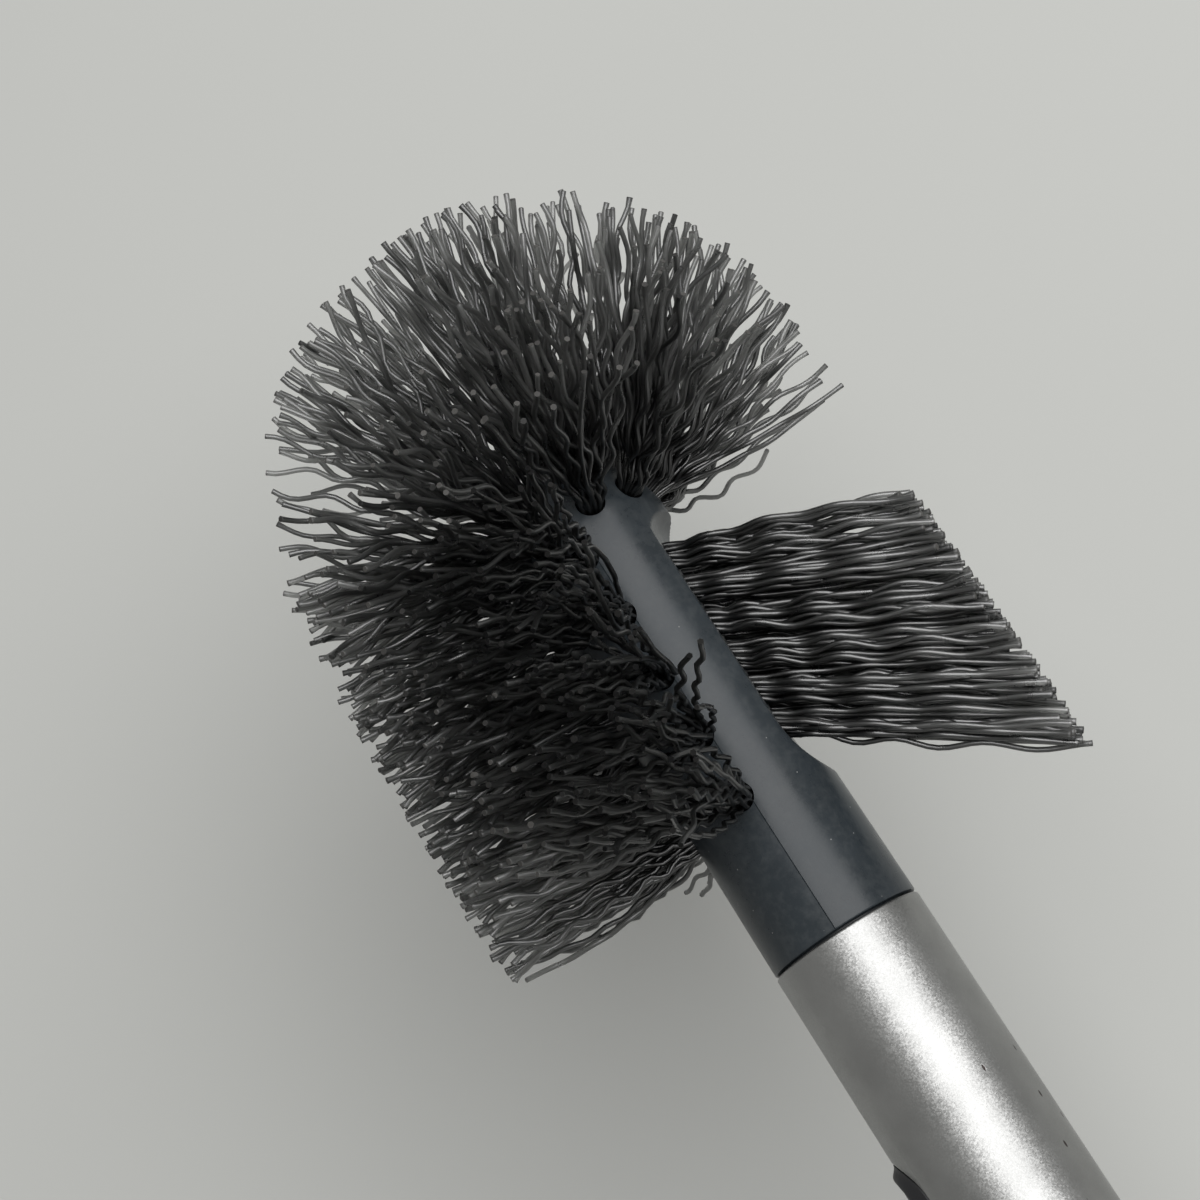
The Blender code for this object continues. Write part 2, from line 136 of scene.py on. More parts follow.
def spun_on(seat: Matrix, profile: Profile, segments: int) -> bmesh.types.BMesh:
    """Spin a profile round X, then stand it on a seat whose Z axis is the spin's axis.

    Args:
        seat: The seat.
        profile: Points (x, radius) with a radius of 0 at both ends.
        segments: Steps of the full turn.

    Returns:
        The closed shell.
    """
    bm = turned(profile, segments, closed=False)
    bmesh.ops.transform(bm, matrix=seat @ Matrix.Rotation(-math.pi / 2, 4, "Y"), verts=bm.verts)
    return bm


def pushed(outline: Sequence[Vector], depth: Vector) -> bmesh.types.BMesh:
    """Push a flat outline along a vector into a closed prism.

    Args:
        outline: The outline's points in order.
        depth: How far it is pushed, and which way.

    Returns:
        The prism.
    """
    bm = bmesh.new()
    base = bm.faces.new([bm.verts.new(point) for point in outline])
    made = bmesh.ops.extrude_face_region(bm, geom=[base])["geom"]
    moved = [part for part in made if isinstance(part, bmesh.types.BMVert)]
    bmesh.ops.translate(bm, verts=moved, vec=depth)
    bmesh.ops.recalc_face_normals(bm, faces=bm.faces)
    return bm


def linked(name: str, mesh: bpy.types.Mesh) -> bpy.types.Object:
    """Link a new object that holds a mesh.

    Args:
        name: The object's name.
        mesh: Its mesh.

    Returns:
        The object.
    """
    item = bpy.data.objects.new(name, mesh)
    bpy.context.scene.collection.objects.link(item)
    return item


def object_of(name: str, bm: bmesh.types.BMesh) -> bpy.types.Object:
    """Turn a bmesh into a linked object.

    Args:
        name: The object's name.
        bm: The bmesh, which is freed.

    Returns:
        The object.
    """
    mesh = bpy.data.meshes.new(name)
    bm.to_mesh(mesh)
    bm.free()
    return linked(name, mesh)


def baked(item: bpy.types.Object) -> None:
    """Replace an object's mesh by its evaluated one and drop its modifiers.

    Args:
        item: The object.
    """
    graph = bpy.context.evaluated_depsgraph_get()
    mesh = bpy.data.meshes.new_from_object(item.evaluated_get(graph))
    item.modifiers.clear()
    item.data = mesh


def combined(item: bpy.types.Object, tools: Sequence[bpy.types.Object], operation: str) -> None:
    """Join or cut an object with helper objects, which are removed afterwards.

    Args:
        item: The object that changes.
        tools: The helpers.
        operation: UNION or DIFFERENCE.
    """
    for tool in tools:
        modifier = item.modifiers.new(tool.name, "BOOLEAN")
        modifier.operation = operation
        modifier.solver = "EXACT"
        modifier.object = tool
    baked(item)
    for tool in tools:
        bpy.data.objects.remove(tool, do_unlink=True)


def bevelled(item: bpy.types.Object, width: float, angle: float) -> None:
    """Round the edges that are sharper than an angle.

    Args:
        item: The object.
        width: The rounding's width.
        angle: The least turn between the two faces of an edge that is rounded.
    """
    modifier = item.modifiers.new("rounded_edges", "BEVEL")
    modifier.width = width
    modifier.segments = EDGE_SEGMENTS
    modifier.limit_method = "ANGLE"
    modifier.angle_limit = angle
    baked(item)


def shaded(item: bpy.types.Object, angle: float) -> None:
    """Shade an object smooth up to an angle between faces."""
    item.data.shade_smooth()
    item.data.set_sharp_from_angle(angle=angle)


def offset_range(base: float, offsets: Range) -> Range:
    """Return the range that two offsets from a base value give."""
    return base + offsets[0], base + offsets[1]


class NodeBoard:
    """Adds and joins the nodes of one material."""

    def __init__(self, name: str, colour: Colour, roughness: float, metallic: float = 0.0) -> None:
        """Start a Principled material.

        Args:
            name: The material's name.
            colour: Base colour, linear.
            roughness: Even roughness, until a node varies it.
            metallic: 1 for bare metal.
        """
        self.material = bpy.data.materials.new(name)
        self.material.use_nodes = True
        self.material.diffuse_color = (*colour, 1.0)
        self.tree = self.material.node_tree
        self.shader = self.tree.nodes["Principled BSDF"]
        self.set(base_color=(*colour, 1.0), roughness=roughness, metallic=metallic)

    def set(self, **values: float | tuple) -> None:
        """Set constant sockets of the shader.

        Args:
            values: The sockets' values by name, in lower case with underscores.
        """
        names = {socket.name.lower().replace(" ", "_"): socket for socket in self.shader.inputs}
        for name, value in values.items():
            names[name].default_value = value

    def give(self, socket: bpy.types.NodeSocket, value: Input) -> None:
        """Join another node's output to a socket, or set the socket to a constant.

        Args:
            socket: The input socket.
            value: The output or the constant.
        """
        if isinstance(value, bpy.types.NodeSocket):
            self.tree.links.new(value, socket)
        else:
            socket.default_value = value

    def node(self, kind: str, **inputs: Input) -> bpy.types.Node:
        """Add a node and fill its input sockets.

        Args:
            kind: The node's type without its ShaderNode prefix.
            inputs: Input sockets by name, in lower case with underscores; a socket is joined.

        Returns:
            The node.
        """
        made = self.tree.nodes.new("ShaderNode" + kind)
        for name, value in inputs.items():
            named = [s for s in made.inputs if s.name.lower().replace(" ", "_") == name]
            self.give(named[0], value)
        return made

    def feed(self, source: bpy.types.NodeSocket, name: str) -> None:
        """Join an output to one of the shader's sockets."""
        self.tree.links.new(source, self.shader.inputs[name])

    def place(self) -> bpy.types.NodeSocket:
        """Return the object coordinates."""
        return self.node("TexCoord").outputs["Object"]

    def attribute(self, name: str) -> bpy.types.NodeSocket:
        """Read a mesh attribute.

        Args:
            name: The attribute's name.

        Returns:
            Its value as a number.
        """
        made = self.node("Attribute")
        made.attribute_name = name
        return made.outputs["Fac"]

    def maths(self, kind: str, operation: str, *inputs: Input) -> bpy.types.Node:
        """Add a maths node and fill its inputs in order.

        Args:
            kind: Math or VectorMath.
            operation: What it does.
            inputs: What its inputs are joined or set to.

        Returns:
            The node.
        """
        made = self.node(kind)
        made.operation = operation
        for socket, value in zip(made.inputs, inputs):
            self.give(socket, value)
        return made

    def vectors(self, operation: str, *inputs: Input) -> bpy.types.NodeSocket:
        """Return the vector that an operation on vectors gives."""
        return self.maths("VectorMath", operation, *inputs).outputs["Vector"]

    def folded(self, operation: str, *values: bpy.types.NodeSocket) -> bpy.types.NodeSocket:
        """Fold several values into one.

        Args:
            operation: ADD, MULTIPLY or another operation on two numbers.
            values: The values.

        Returns:
            The result.
        """
        total = values[0]
        for value in values[1:]:
            total = self.maths("Math", operation, total, value).outputs[0]
        return total

    def facets(self, way: bpy.types.NodeSocket, tilt: float) -> bpy.types.NodeSocket:
        """Tilt the surface's normal.

        Args:
            way: Which way it leans, with parts from 0 to 1.
            tilt: How far it leans.

        Returns:
            The tilted normal.
        """
        offset = self.vectors("MULTIPLY_ADD", way, (tilt,) * 3, (-tilt / 2,) * 3)
        normal = self.node("NewGeometry").outputs["Normal"]
        return self.vectors("NORMALIZE", self.vectors("ADD", offset, normal))

    def noise(
        self, vector: bpy.types.NodeSocket, scale: float, detail: float, rough: float = 0.5
    ) -> bpy.types.NodeSocket:
        """Add a noise texture.

        Args:
            vector: The coordinates.
            scale: Waves a metre.
            detail: How many finer layers are added.
            rough: How strong each finer layer is.

        Returns:
            Its value.
        """
        made = self.node("TexNoise", vector=vector, scale=scale, detail=detail, roughness=rough)
        return made.outputs["Fac"]

    def cells(
        self, vector: bpy.types.NodeSocket, scale: float, output: str
    ) -> bpy.types.NodeSocket:
        """Return the Distance or Color output of a Voronoi texture."""
        return self.node("TexVoronoi", vector=vector, scale=scale).outputs[output]

    def fitted(
        self, value: bpy.types.NodeSocket, span: Range, result: Range
    ) -> bpy.types.NodeSocket:
        """Map a value from one range to another and hold it there.

        Args:
            value: The value.
            span: The range that it runs over.
            result: What the span's two ends become.

        Returns:
            The new value.
        """
        made = self.node(
            "MapRange", value=value, from_min=span[0], from_max=span[1],
            to_min=result[0], to_max=result[1],
        )
        return made.outputs["Result"]

    def ramp(
        self, value: bpy.types.NodeSocket, span: Range, low: Colour, high: Colour
    ) -> bpy.types.NodeSocket:
        """Run from one colour to another as a value crosses a range.

        Args:
            value: The value.
            span: The range.
            low: The colour at its lower end.
            high: The colour at its upper end.

        Returns:
            The colour.
        """
        made = self.node("ValToRGB", fac=value)
        for element, place, colour in zip(made.color_ramp.elements, span, (low, high)):
            element.position = place
            element.color = (*colour, 1.0)
        return made.outputs["Color"]

    def clouded(
        self, cloud: bpy.types.NodeSocket, colour: Colour, shades: Range
    ) -> bpy.types.NodeSocket:
        """Darken and brighten a colour by a noise.

        Args:
            cloud: The noise.
            colour: The colour.
            shades: What it is multiplied by where the noise is low and high.

        Returns:
            The clouded colour.
        """
        low, high = (tuple(shade * part for part in colour) for shade in shades)
        return self.ramp(cloud, CLOUD_SPAN, low, high)

    def mixed(
        self, share: bpy.types.NodeSocket, low: bpy.types.NodeSocket, high: Input
    ) -> bpy.types.NodeSocket:
        """Mix two colours.

        Args:
            share: The share of the second colour.
            low: The first colour.
            high: The second colour.

        Returns:
            The mixed colour.
        """
        made = self.node("Mix")
        made.data_type = "RGBA"
        colours = [socket for socket in made.inputs if socket.type == "RGBA"]
        for socket, value in zip((made.inputs[0], *colours), (share, low, high)):
            self.give(socket, value)
        return next(socket for socket in made.outputs if socket.type == "RGBA")

    def bump(
        self, height: bpy.types.NodeSocket, depth: float, strength: float,
        normal: bpy.types.NodeSocket | None = None,
    ) -> None:
        """Give the shader a bump.

        Args:
            height: The height, a value.
            depth: How deep a height of 1 is, in metres.
            strength: How strongly it shows.
            normal: The normal that it starts from, if not the surface's own.
        """
        made = self.node("Bump", height=height, distance=depth, strength=strength)
        if normal is not None:
            self.give(made.inputs["Normal"], normal)
        self.feed(made.outputs["Normal"], "Normal")


@dataclass(frozen=True)
class SatinAluminium:
    """Bead-blasted and clear-anodised tube, with a fine sparkle and a few small knocks."""

    slot: str = "satin_aluminium"
    colour: Colour = (0.300, 0.300, 0.296)
    shades: Range = (0.90, 1.08)
    cloud: float = 160.0
    roughness: float = 0.40
    unevenness: Range = (-0.04, 0.04)
    grain: float = 5200.0
    grain_span: Range = (0.35, 0.65)
    tilt: float = 0.12
    nick: Colour = (0.070, 0.058, 0.056)
    knocks: float = 430.0
    knock_stretch: float = 0.42
    knock_edge: Range = (0.07, 0.10)
    knock_spacing: float = 6.0
    spacing_edge: Range = (0.48, 0.50)
    knock_sink: Range = (0.0, -2.0)
    knock_depth: float = 0.000016
    knock_strength: float = 0.75

    def knock(self, board: NodeBoard, place: bpy.types.NodeSocket) -> bpy.types.NodeSocket:
        """Find the small knocks, which are cells of one noise kept here and there by another.

        Args:
            board: The material's nodes.
            place: The coordinates.

        Returns:
            A value of 1 in each knock and 0 between them.
        """
        along = board.vectors("MULTIPLY", place, (self.knock_stretch, 1.0, 1.0))
        cells = board.cells(along, self.knocks, "Distance")
        patches = board.noise(place, self.knocks / self.knock_spacing, detail=1.0)
        spot = board.fitted(cells, self.knock_edge, FALLING)
        return board.folded("MULTIPLY", spot, board.fitted(patches, self.spacing_edge, RISING))

    def material(self) -> bpy.types.Material:
        """Make the finish.

        Returns:
            The material.
        """
        board = NodeBoard(self.slot, self.colour, self.roughness, metallic=1.0)
        place = board.place()
        knock = self.knock(board, place)
        satin = board.clouded(board.noise(place, self.cloud, detail=3.0), self.colour, self.shades)
        board.feed(board.mixed(knock, satin, (*self.nick, 1.0)), "Base Color")
        grain = board.noise(place, self.grain, detail=3.0, rough=0.65)
        rough = offset_range(self.roughness, self.unevenness)
        board.feed(board.fitted(grain, self.grain_span, rough), "Roughness")
        sparkle = board.facets(board.cells(place, self.grain, "Color"), self.tilt)
        sunk = board.fitted(knock, RISING, self.knock_sink)
        board.bump(sunk, self.knock_depth, self.knock_strength, normal=sparkle)
        return board.material


@dataclass(frozen=True)
class MouldedPlastic:
    """Semi-matt moulded plastic with a fine skin, faint clouding, a smeared film and dust."""

    slot: str
    colour: Colour
    roughness: float
    dust: float = 0.0
    specular: float = 0.30
    shades: Range = (0.86, 1.15)
    cloud: float = 90.0
    smear: float = 620.0
    film_span: Range = (0.45, 0.70)
    film: Range = (0.0, 0.05)
    film_greys: tuple[Colour, Colour] = ((0.30, 0.31, 0.30), (0.36, 0.37, 0.36))
    specks: float = 420.0
    speck_edge: Range = (0.025, 0.045)
    speck_greys: tuple[Colour, Colour] = ((0.30, 0.30, 0.29), (0.42, 0.42, 0.41))
    uneven_span: Range = (0.75, 1.25)
    unevenness: Range = (-0.07, 0.08)
    skin: float = 2600.0
    skin_depth: float = 0.000012
    skin_strength: float = 0.6

    def material(self) -> bpy.types.Material:
        """Make the finish.

        Returns:
            The material.
        """
        board = NodeBoard(self.slot, self.colour, self.roughness)
        board.set(specular_ior_level=self.specular)
        place = board.place()
        cloud = board.noise(place, self.cloud, detail=4.0, rough=0.6)
        smear = board.noise(place, self.smear, detail=5.0, rough=0.7)
        colour = board.clouded(cloud, self.colour, self.shades)
        if self.dust > 0:
            cells = board.cells(place, self.specks, "Distance")
            film = board.fitted(smear, self.film_span, self.film)
            speck = board.fitted(cells, self.speck_edge, (self.dust, 0.0))
            for share, greys in ((film, self.film_greys), (speck, self.speck_greys)):
                colour = board.mixed(share, colour, board.ramp(cloud, RISING, *greys))
        board.feed(colour, "Base Color")
        uneven = board.folded("ADD", cloud, smear)
        rough = offset_range(self.roughness, self.unevenness)
        board.feed(board.fitted(uneven, self.uneven_span, rough), "Roughness")
        skin = board.noise(place, self.skin, detail=4.0, rough=0.6)
        board.bump(skin, self.skin_depth, self.skin_strength)
        return board.material


@dataclass(frozen=True)
class CrimpedNylon:
    """Translucent charcoal filament; each one has its own shade and a paler cut end.

    Its colour and gloss fall towards the roots as painted shade, for the shadow deep in the tufts.
    It reads three attributes of a tuft's mesh: shade, the filament's own tone, lowered as painted
    shade on the field's outer rows; reach, 0 at the bottom of its hole and 1 at its tip; and
    gloss, lowered there too.
    """

    slot: str = "charcoal_bristle"
    dark: Colour = (0.050, 0.052, 0.052)
    light: Colour = (0.340, 0.342, 0.334)
    # Painted shade: near black towards the roots, for the shadow deep in the tufts; along the
    # reach below it gives way to the filament's tone.
    root: Colour = (0.003, 0.0032, 0.0034)
    root_painted_shade_span: Range = (0.4, 1.0)
    body_reach: Range = (0.25, 1.0)
    cut_end: Colour = (0.066, 0.064, 0.060)
    cut_shades: Range = (0.0, 0.7)
    cut_reach: Range = (0.99, 1.0)
    roughness: float = 0.30
    unevenness: Range = (-0.04, 0.06)
    cloud: float = 350.0
    cut_roughness: float = 0.60
    cut_gloss: float = 0.10
    gloss_reach: Range = (0.1, 0.6)
    # Painted shade: the gloss at the roots, as a share of the full gloss.
    root_painted_shade_gloss: float = 0.45
    transmission: float = 0.90
    ior: float = 1.75

    def material(self) -> bpy.types.Material:
        """Make the finish.

        Returns:
            The material.
        """
        board = NodeBoard(self.slot, self.light, self.roughness)
        board.set(ior=self.ior)
        reach = board.attribute("reach")
        shade = board.attribute("shade")
        # Painted shade: the body runs from near black at the roots to the filament's own tone.
        root = board.ramp(shade, self.root_painted_shade_span, self.root, self.dark)
        tone = board.ramp(shade, RISING, self.dark, self.light)
        body = board.mixed(board.fitted(reach, self.body_reach, RISING), root, tone)
        cut = board.ramp(shade, self.cut_shades, self.root, self.cut_end)
        tip = board.fitted(reach, self.cut_reach, RISING)
        board.feed(board.mixed(tip, body, cut), "Base Color")
        clear = board.fitted(tip, RISING, (self.transmission, 0.0))
        board.feed(clear, "Transmission Weight")
        # The gloss falls towards the roots as painted shade, and drops at the cut end.
        gloss = board.folded(
            "MULTIPLY", board.attribute("gloss"),
            board.fitted(reach, self.gloss_reach, (self.root_painted_shade_gloss, 1.0)),
            board.fitted(tip, RISING, (1.0, self.cut_gloss)),
        )
        board.feed(gloss, "Specular IOR Level")
        cloud = board.noise(board.place(), self.cloud, detail=2.0)
        rough = board.fitted(cloud, CLOUD_SPAN, offset_range(self.roughness, self.unevenness))
        frost = board.fitted(tip, RISING, (0.0, self.cut_roughness - self.roughness))
        board.feed(board.folded("ADD", rough, frost), "Roughness")
        return board.material


class Dresser:
    """Gives finished objects their finish, their body and the nodes that they stand for."""

    def __init__(self) -> None:
        """Make one material for each of the record's finishes."""
        finishes = (
            SatinAluminium(),
            MouldedPlastic("slate_plastic", (0.022, 0.0278, 0.0325), roughness=0.31, dust=0.7),
            MouldedPlastic("black_plastic", (0.018, 0.018, 0.020), roughness=0.46),
            CrimpedNylon(),
        )
        self.materials = {finish.slot: finish.material() for finish in finishes}

    def dress(self, item: bpy.types.Object, slot: str, body: Body, *nodes: str) -> None:
        """Finish a piece and put it on its body.

        Args:
            item: The piece, at the origin with its place in its mesh.
            slot: The record's material slot.
            body: The body that carries it.
            nodes: The CAD nodes that it stands for.
        """
        item.data.materials.clear()
        item.data.materials.append(self.materials[slot])
        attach(item, body.value)
        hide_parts(*nodes)
        names = ", ".join(nodes)
        LOG.info("%s: %d faces, stands for %s", item.name, len(item.data.polygons), names)


@dataclass(frozen=True)
class Button:
    """The release button's outline and tongue, shared by the button, its window and its slot."""

    start: float = 0.0280
    length: float = 0.0170
    width: float = 0.0124
    steps: int = 20
    tongue_root: float = 0.0080

    def outline(self, growth: float, height: float) -> list[Vector]:
        """Return the outline seen from +Y.

        Args:
            growth: How far it is grown all round.
            height: Its place on Y.

        Returns:
            The points, in the brush's own space.
        """
        half = self.width / 2
        near = JOINT_X - self.start - half
        far = JOINT_X - self.start - self.length + half
        points = []
        for centre, first in ((near, -90), (far, 90)):
            for step in range(self.steps + 1):
                angle = math.radians(first + 180 * step / self.steps)
                reach = half + growth
                x = centre + reach * math.cos(angle)
                points.append(Vector((x, height, reach * math.sin(angle))))
        return points


@dataclass
class Handle:
    """The aluminium tube with its button window, and the plug in its far end."""

    length: float = 0.2800
    wall: float = 0.0012
    lip: float = 0.0004
    lip_steps: int = 4
    bore_lip: float = 0.0004 / 3
    window_clearance: float = 0.0004
    window_edge: float = 0.00012
    window_angle: float = math.radians(50.0)
    tube_steps: int = 6
    tube_segments: int = 128
    tube_smooth: float = math.radians(32.0)
    cap_flange: float = 0.0040
    cap_edge: float = 0.0012
    cap_back_edge: float = 0.0003
    cap_plug: float = 0.0140
    cap_plug_edge: float = 0.0005
    cap_inset: float = 0.0006
    cap_segments: int = 96
    cap_smooth: float = math.radians(40.0)
    ring_width: float = 0.0012
    ring_pitch: float = 0.0040
    rings: int = 3
    round_steps: int = 6
    button: Button = Button()

    def lip_points(self, end: float, inward: float) -> list[tuple[float, float]]:
        """Return the rounded outer edge at one end, from the end face to the outside.

        Args:
            end: The end face's place on X.
            inward: 1 at the low end and -1 at the high end.

        Returns:
            The points (x, radius).
        """
        points = []
        for step in range(self.lip_steps + 1):
            angle = math.radians(90 * step / self.lip_steps)
            x = end + inward * self.lip * (1 - math.sin(angle))
            points.append((x, TUBE_RADIUS - self.lip * (1 - math.cos(angle))))
        return points[::-1]

    def tube(self) -> bpy.types.Object:
        """Make the tube with its window.

        Returns:
            The tube.
        """
        low = TUBE_START
        high = TUBE_START + self.length
        inner = TUBE_RADIUS - self.wall
        inside = inner + self.bore_lip
        margin = self.button.width / 3
        window = (
            JOINT_X - self.button.start - self.button.length - margin,
            JOINT_X - self.button.start + margin,
        )
        steps = self.tube_steps
        stations = [low + (window[0] - low) * step / steps for step in range(1, steps + 1)]
        stations.append(window[1])
        profile = [(low, inside), *self.lip_points(low, 1)]
        profile += [(x, TUBE_RADIUS) for x in stations]
        profile += [*self.lip_points(high, -1)[::-1], (high, inside), (high - self.lip, inner)]
        profile += [(x, inner) for x in reversed(stations)]
        profile.append((low + self.lip, inner))
        item = object_of("handle_tube_satin", turned(profile, self.tube_segments, closed=True))
        outline = self.button.outline(self.window_clearance, TUBE_RADIUS / 2)
        cutter = object_of("window", pushed(outline, Vector((0, TUBE_RADIUS, 0))))
        combined(item, [cutter], "DIFFERENCE")
        bevelled(item, self.window_edge, self.window_angle)
        shaded(item, self.tube_smooth)
        return item

    def cap(self) -> bpy.types.Object:
        """Make the plug: a flange with a rounded flat end, and three sealing rings.

        Returns:
            The plug.
        """
        ring_radius = TUBE_RADIUS - self.wall - FIT_GAP
        body_radius = ring_radius - self.cap_inset
        steps = self.round_steps
        profile = [(0.0, 0.0)]
        for step in range(steps + 1):
            angle = math.radians(90 * step / steps)
            x = self.cap_edge * (1 - math.cos(angle))
            profile.append((x, TUBE_RADIUS - self.cap_edge * (1 - math.sin(angle))))
        profile.append((self.cap_flange - self.cap_back_edge, TUBE_RADIUS))
        profile.append((self.cap_flange, TUBE_RADIUS - self.cap_back_edge))
        profile.append((self.cap_flange, body_radius))
        for ring in range(1, self.rings + 1):
            start = self.cap_flange + ring * self.ring_pitch - self.ring_width
            for step in range(steps + 1):
                angle = math.pi * step / steps
                x = start + self.ring_width * (1 - math.cos(angle)) / 2
                profile.append((x, body_radius + self.cap_inset * math.sin(angle)))
        end = self.cap_flange + self.cap_plug
        profile.append((end - self.cap_plug_edge, body_radius))
        profile += [(end, body_radius - self.cap_plug_edge), (end, 0.0)]
        item = object_of("end_cap_black", turned(profile, self.cap_segments, closed=False))
        shaded(item, self.cap_smooth)
        return item


@dataclass
class SnapButton:
    """The push button and the sprung tongue that carries it, in one moulding."""

    proud: float = 0.0010
    edge: float = 0.0016
    edge_steps: int = 6
    dish: float = 0.00035
    dish_run: float = 0.7
    dish_steps: int = 4
    side_share: float = 0.9
    tongue_width: float = 0.0100
    tongue_thickness: float = 0.0016
    tongue_inner: float = 0.0064
    tongue_edge: float = 0.00015
    tongue_angle: float = math.radians(30.0)
    smooth: float = math.radians(40.0)
    button: Button = Button()

    def crown_height(self, z: float, inset: float) -> float:
        """Work out the top's height, from the tube's own round up to the button's.

        Args:
            z: Distance across from the middle.
            inset: Distance in from the outline.

        Returns:
            The height on Y.
        """
        round_top = math.sqrt((TUBE_RADIUS + self.proud) ** 2 - z * z)
        flank = math.sqrt(TUBE_RADIUS**2 - z * z)
        share = smooth_step(inset / self.edge)
        hollow = self.dish * smooth_step((inset - self.edge) / (self.dish_run * self.edge))
        return flank + (round_top - flank) * share - hollow

    def build(self) -> bpy.types.Object:
        """Make the button on its tongue.

        The outline is extruded up and then inwards, ring by ring, and the two round ends of
        the last ring are bridged.

        Returns:
            The moulding.
        """
        bm = bmesh.new()
        places = self.button.outline(0, self.tongue_inner)
        bm.faces.new([bm.verts.new(point) for point in places])
        edges = list(bm.edges)
        for step in range(self.edge_steps + self.dish_steps):
            inset = self.edge * step / self.edge_steps
            made = bmesh.ops.extrude_edge_only(bm, edges=edges)["geom"]
            edges = [part for part in made if isinstance(part, bmesh.types.BMEdge)]
            edges = [edge for edge in edges if all(vert in made for vert in edge.verts)]
            before = places
            places = [
                Vector((point.x, self.crown_height(point.z, inset), point.z))
                for point in self.button.outline(-inset, 0)
            ]
            for vert in [part for part in made if isinstance(part, bmesh.types.BMVert)]:
                spot = vert.co.copy()
                nearest = min(range(len(before)), key=lambda k: (before[k] - spot).length_squared)
                vert.co = places[nearest]
        straight = (places[0] - places[-1]).length * self.side_share
        arcs = [edge for edge in edges if edge.calc_length() < straight]
        bmesh.ops.bridge_loops(bm, edges=arcs)
        bmesh.ops.recalc_face_normals(bm, faces=bm.faces)
        item = object_of("snap_button_black", bm)

        tongue_end = self.button.start + self.button.width / 2
        low_x = JOINT_X - tongue_end
        high_x = JOINT_X - self.button.tongue_root - FIT_GAP
        half = self.tongue_width / 2
        corners = ((low_x, -half), (high_x, -half), (high_x, half), (low_x, half))
        outline = [Vector((x, self.tongue_inner, z)) for x, z in corners]
        tongue = object_of("tongue", pushed(outline, Vector((0, self.tongue_thickness, 0))))
        bevelled(tongue, self.tongue_edge, self.tongue_angle)
        combined(item, [tongue], "UNION")
        shaded(item, self.smooth)
        return item


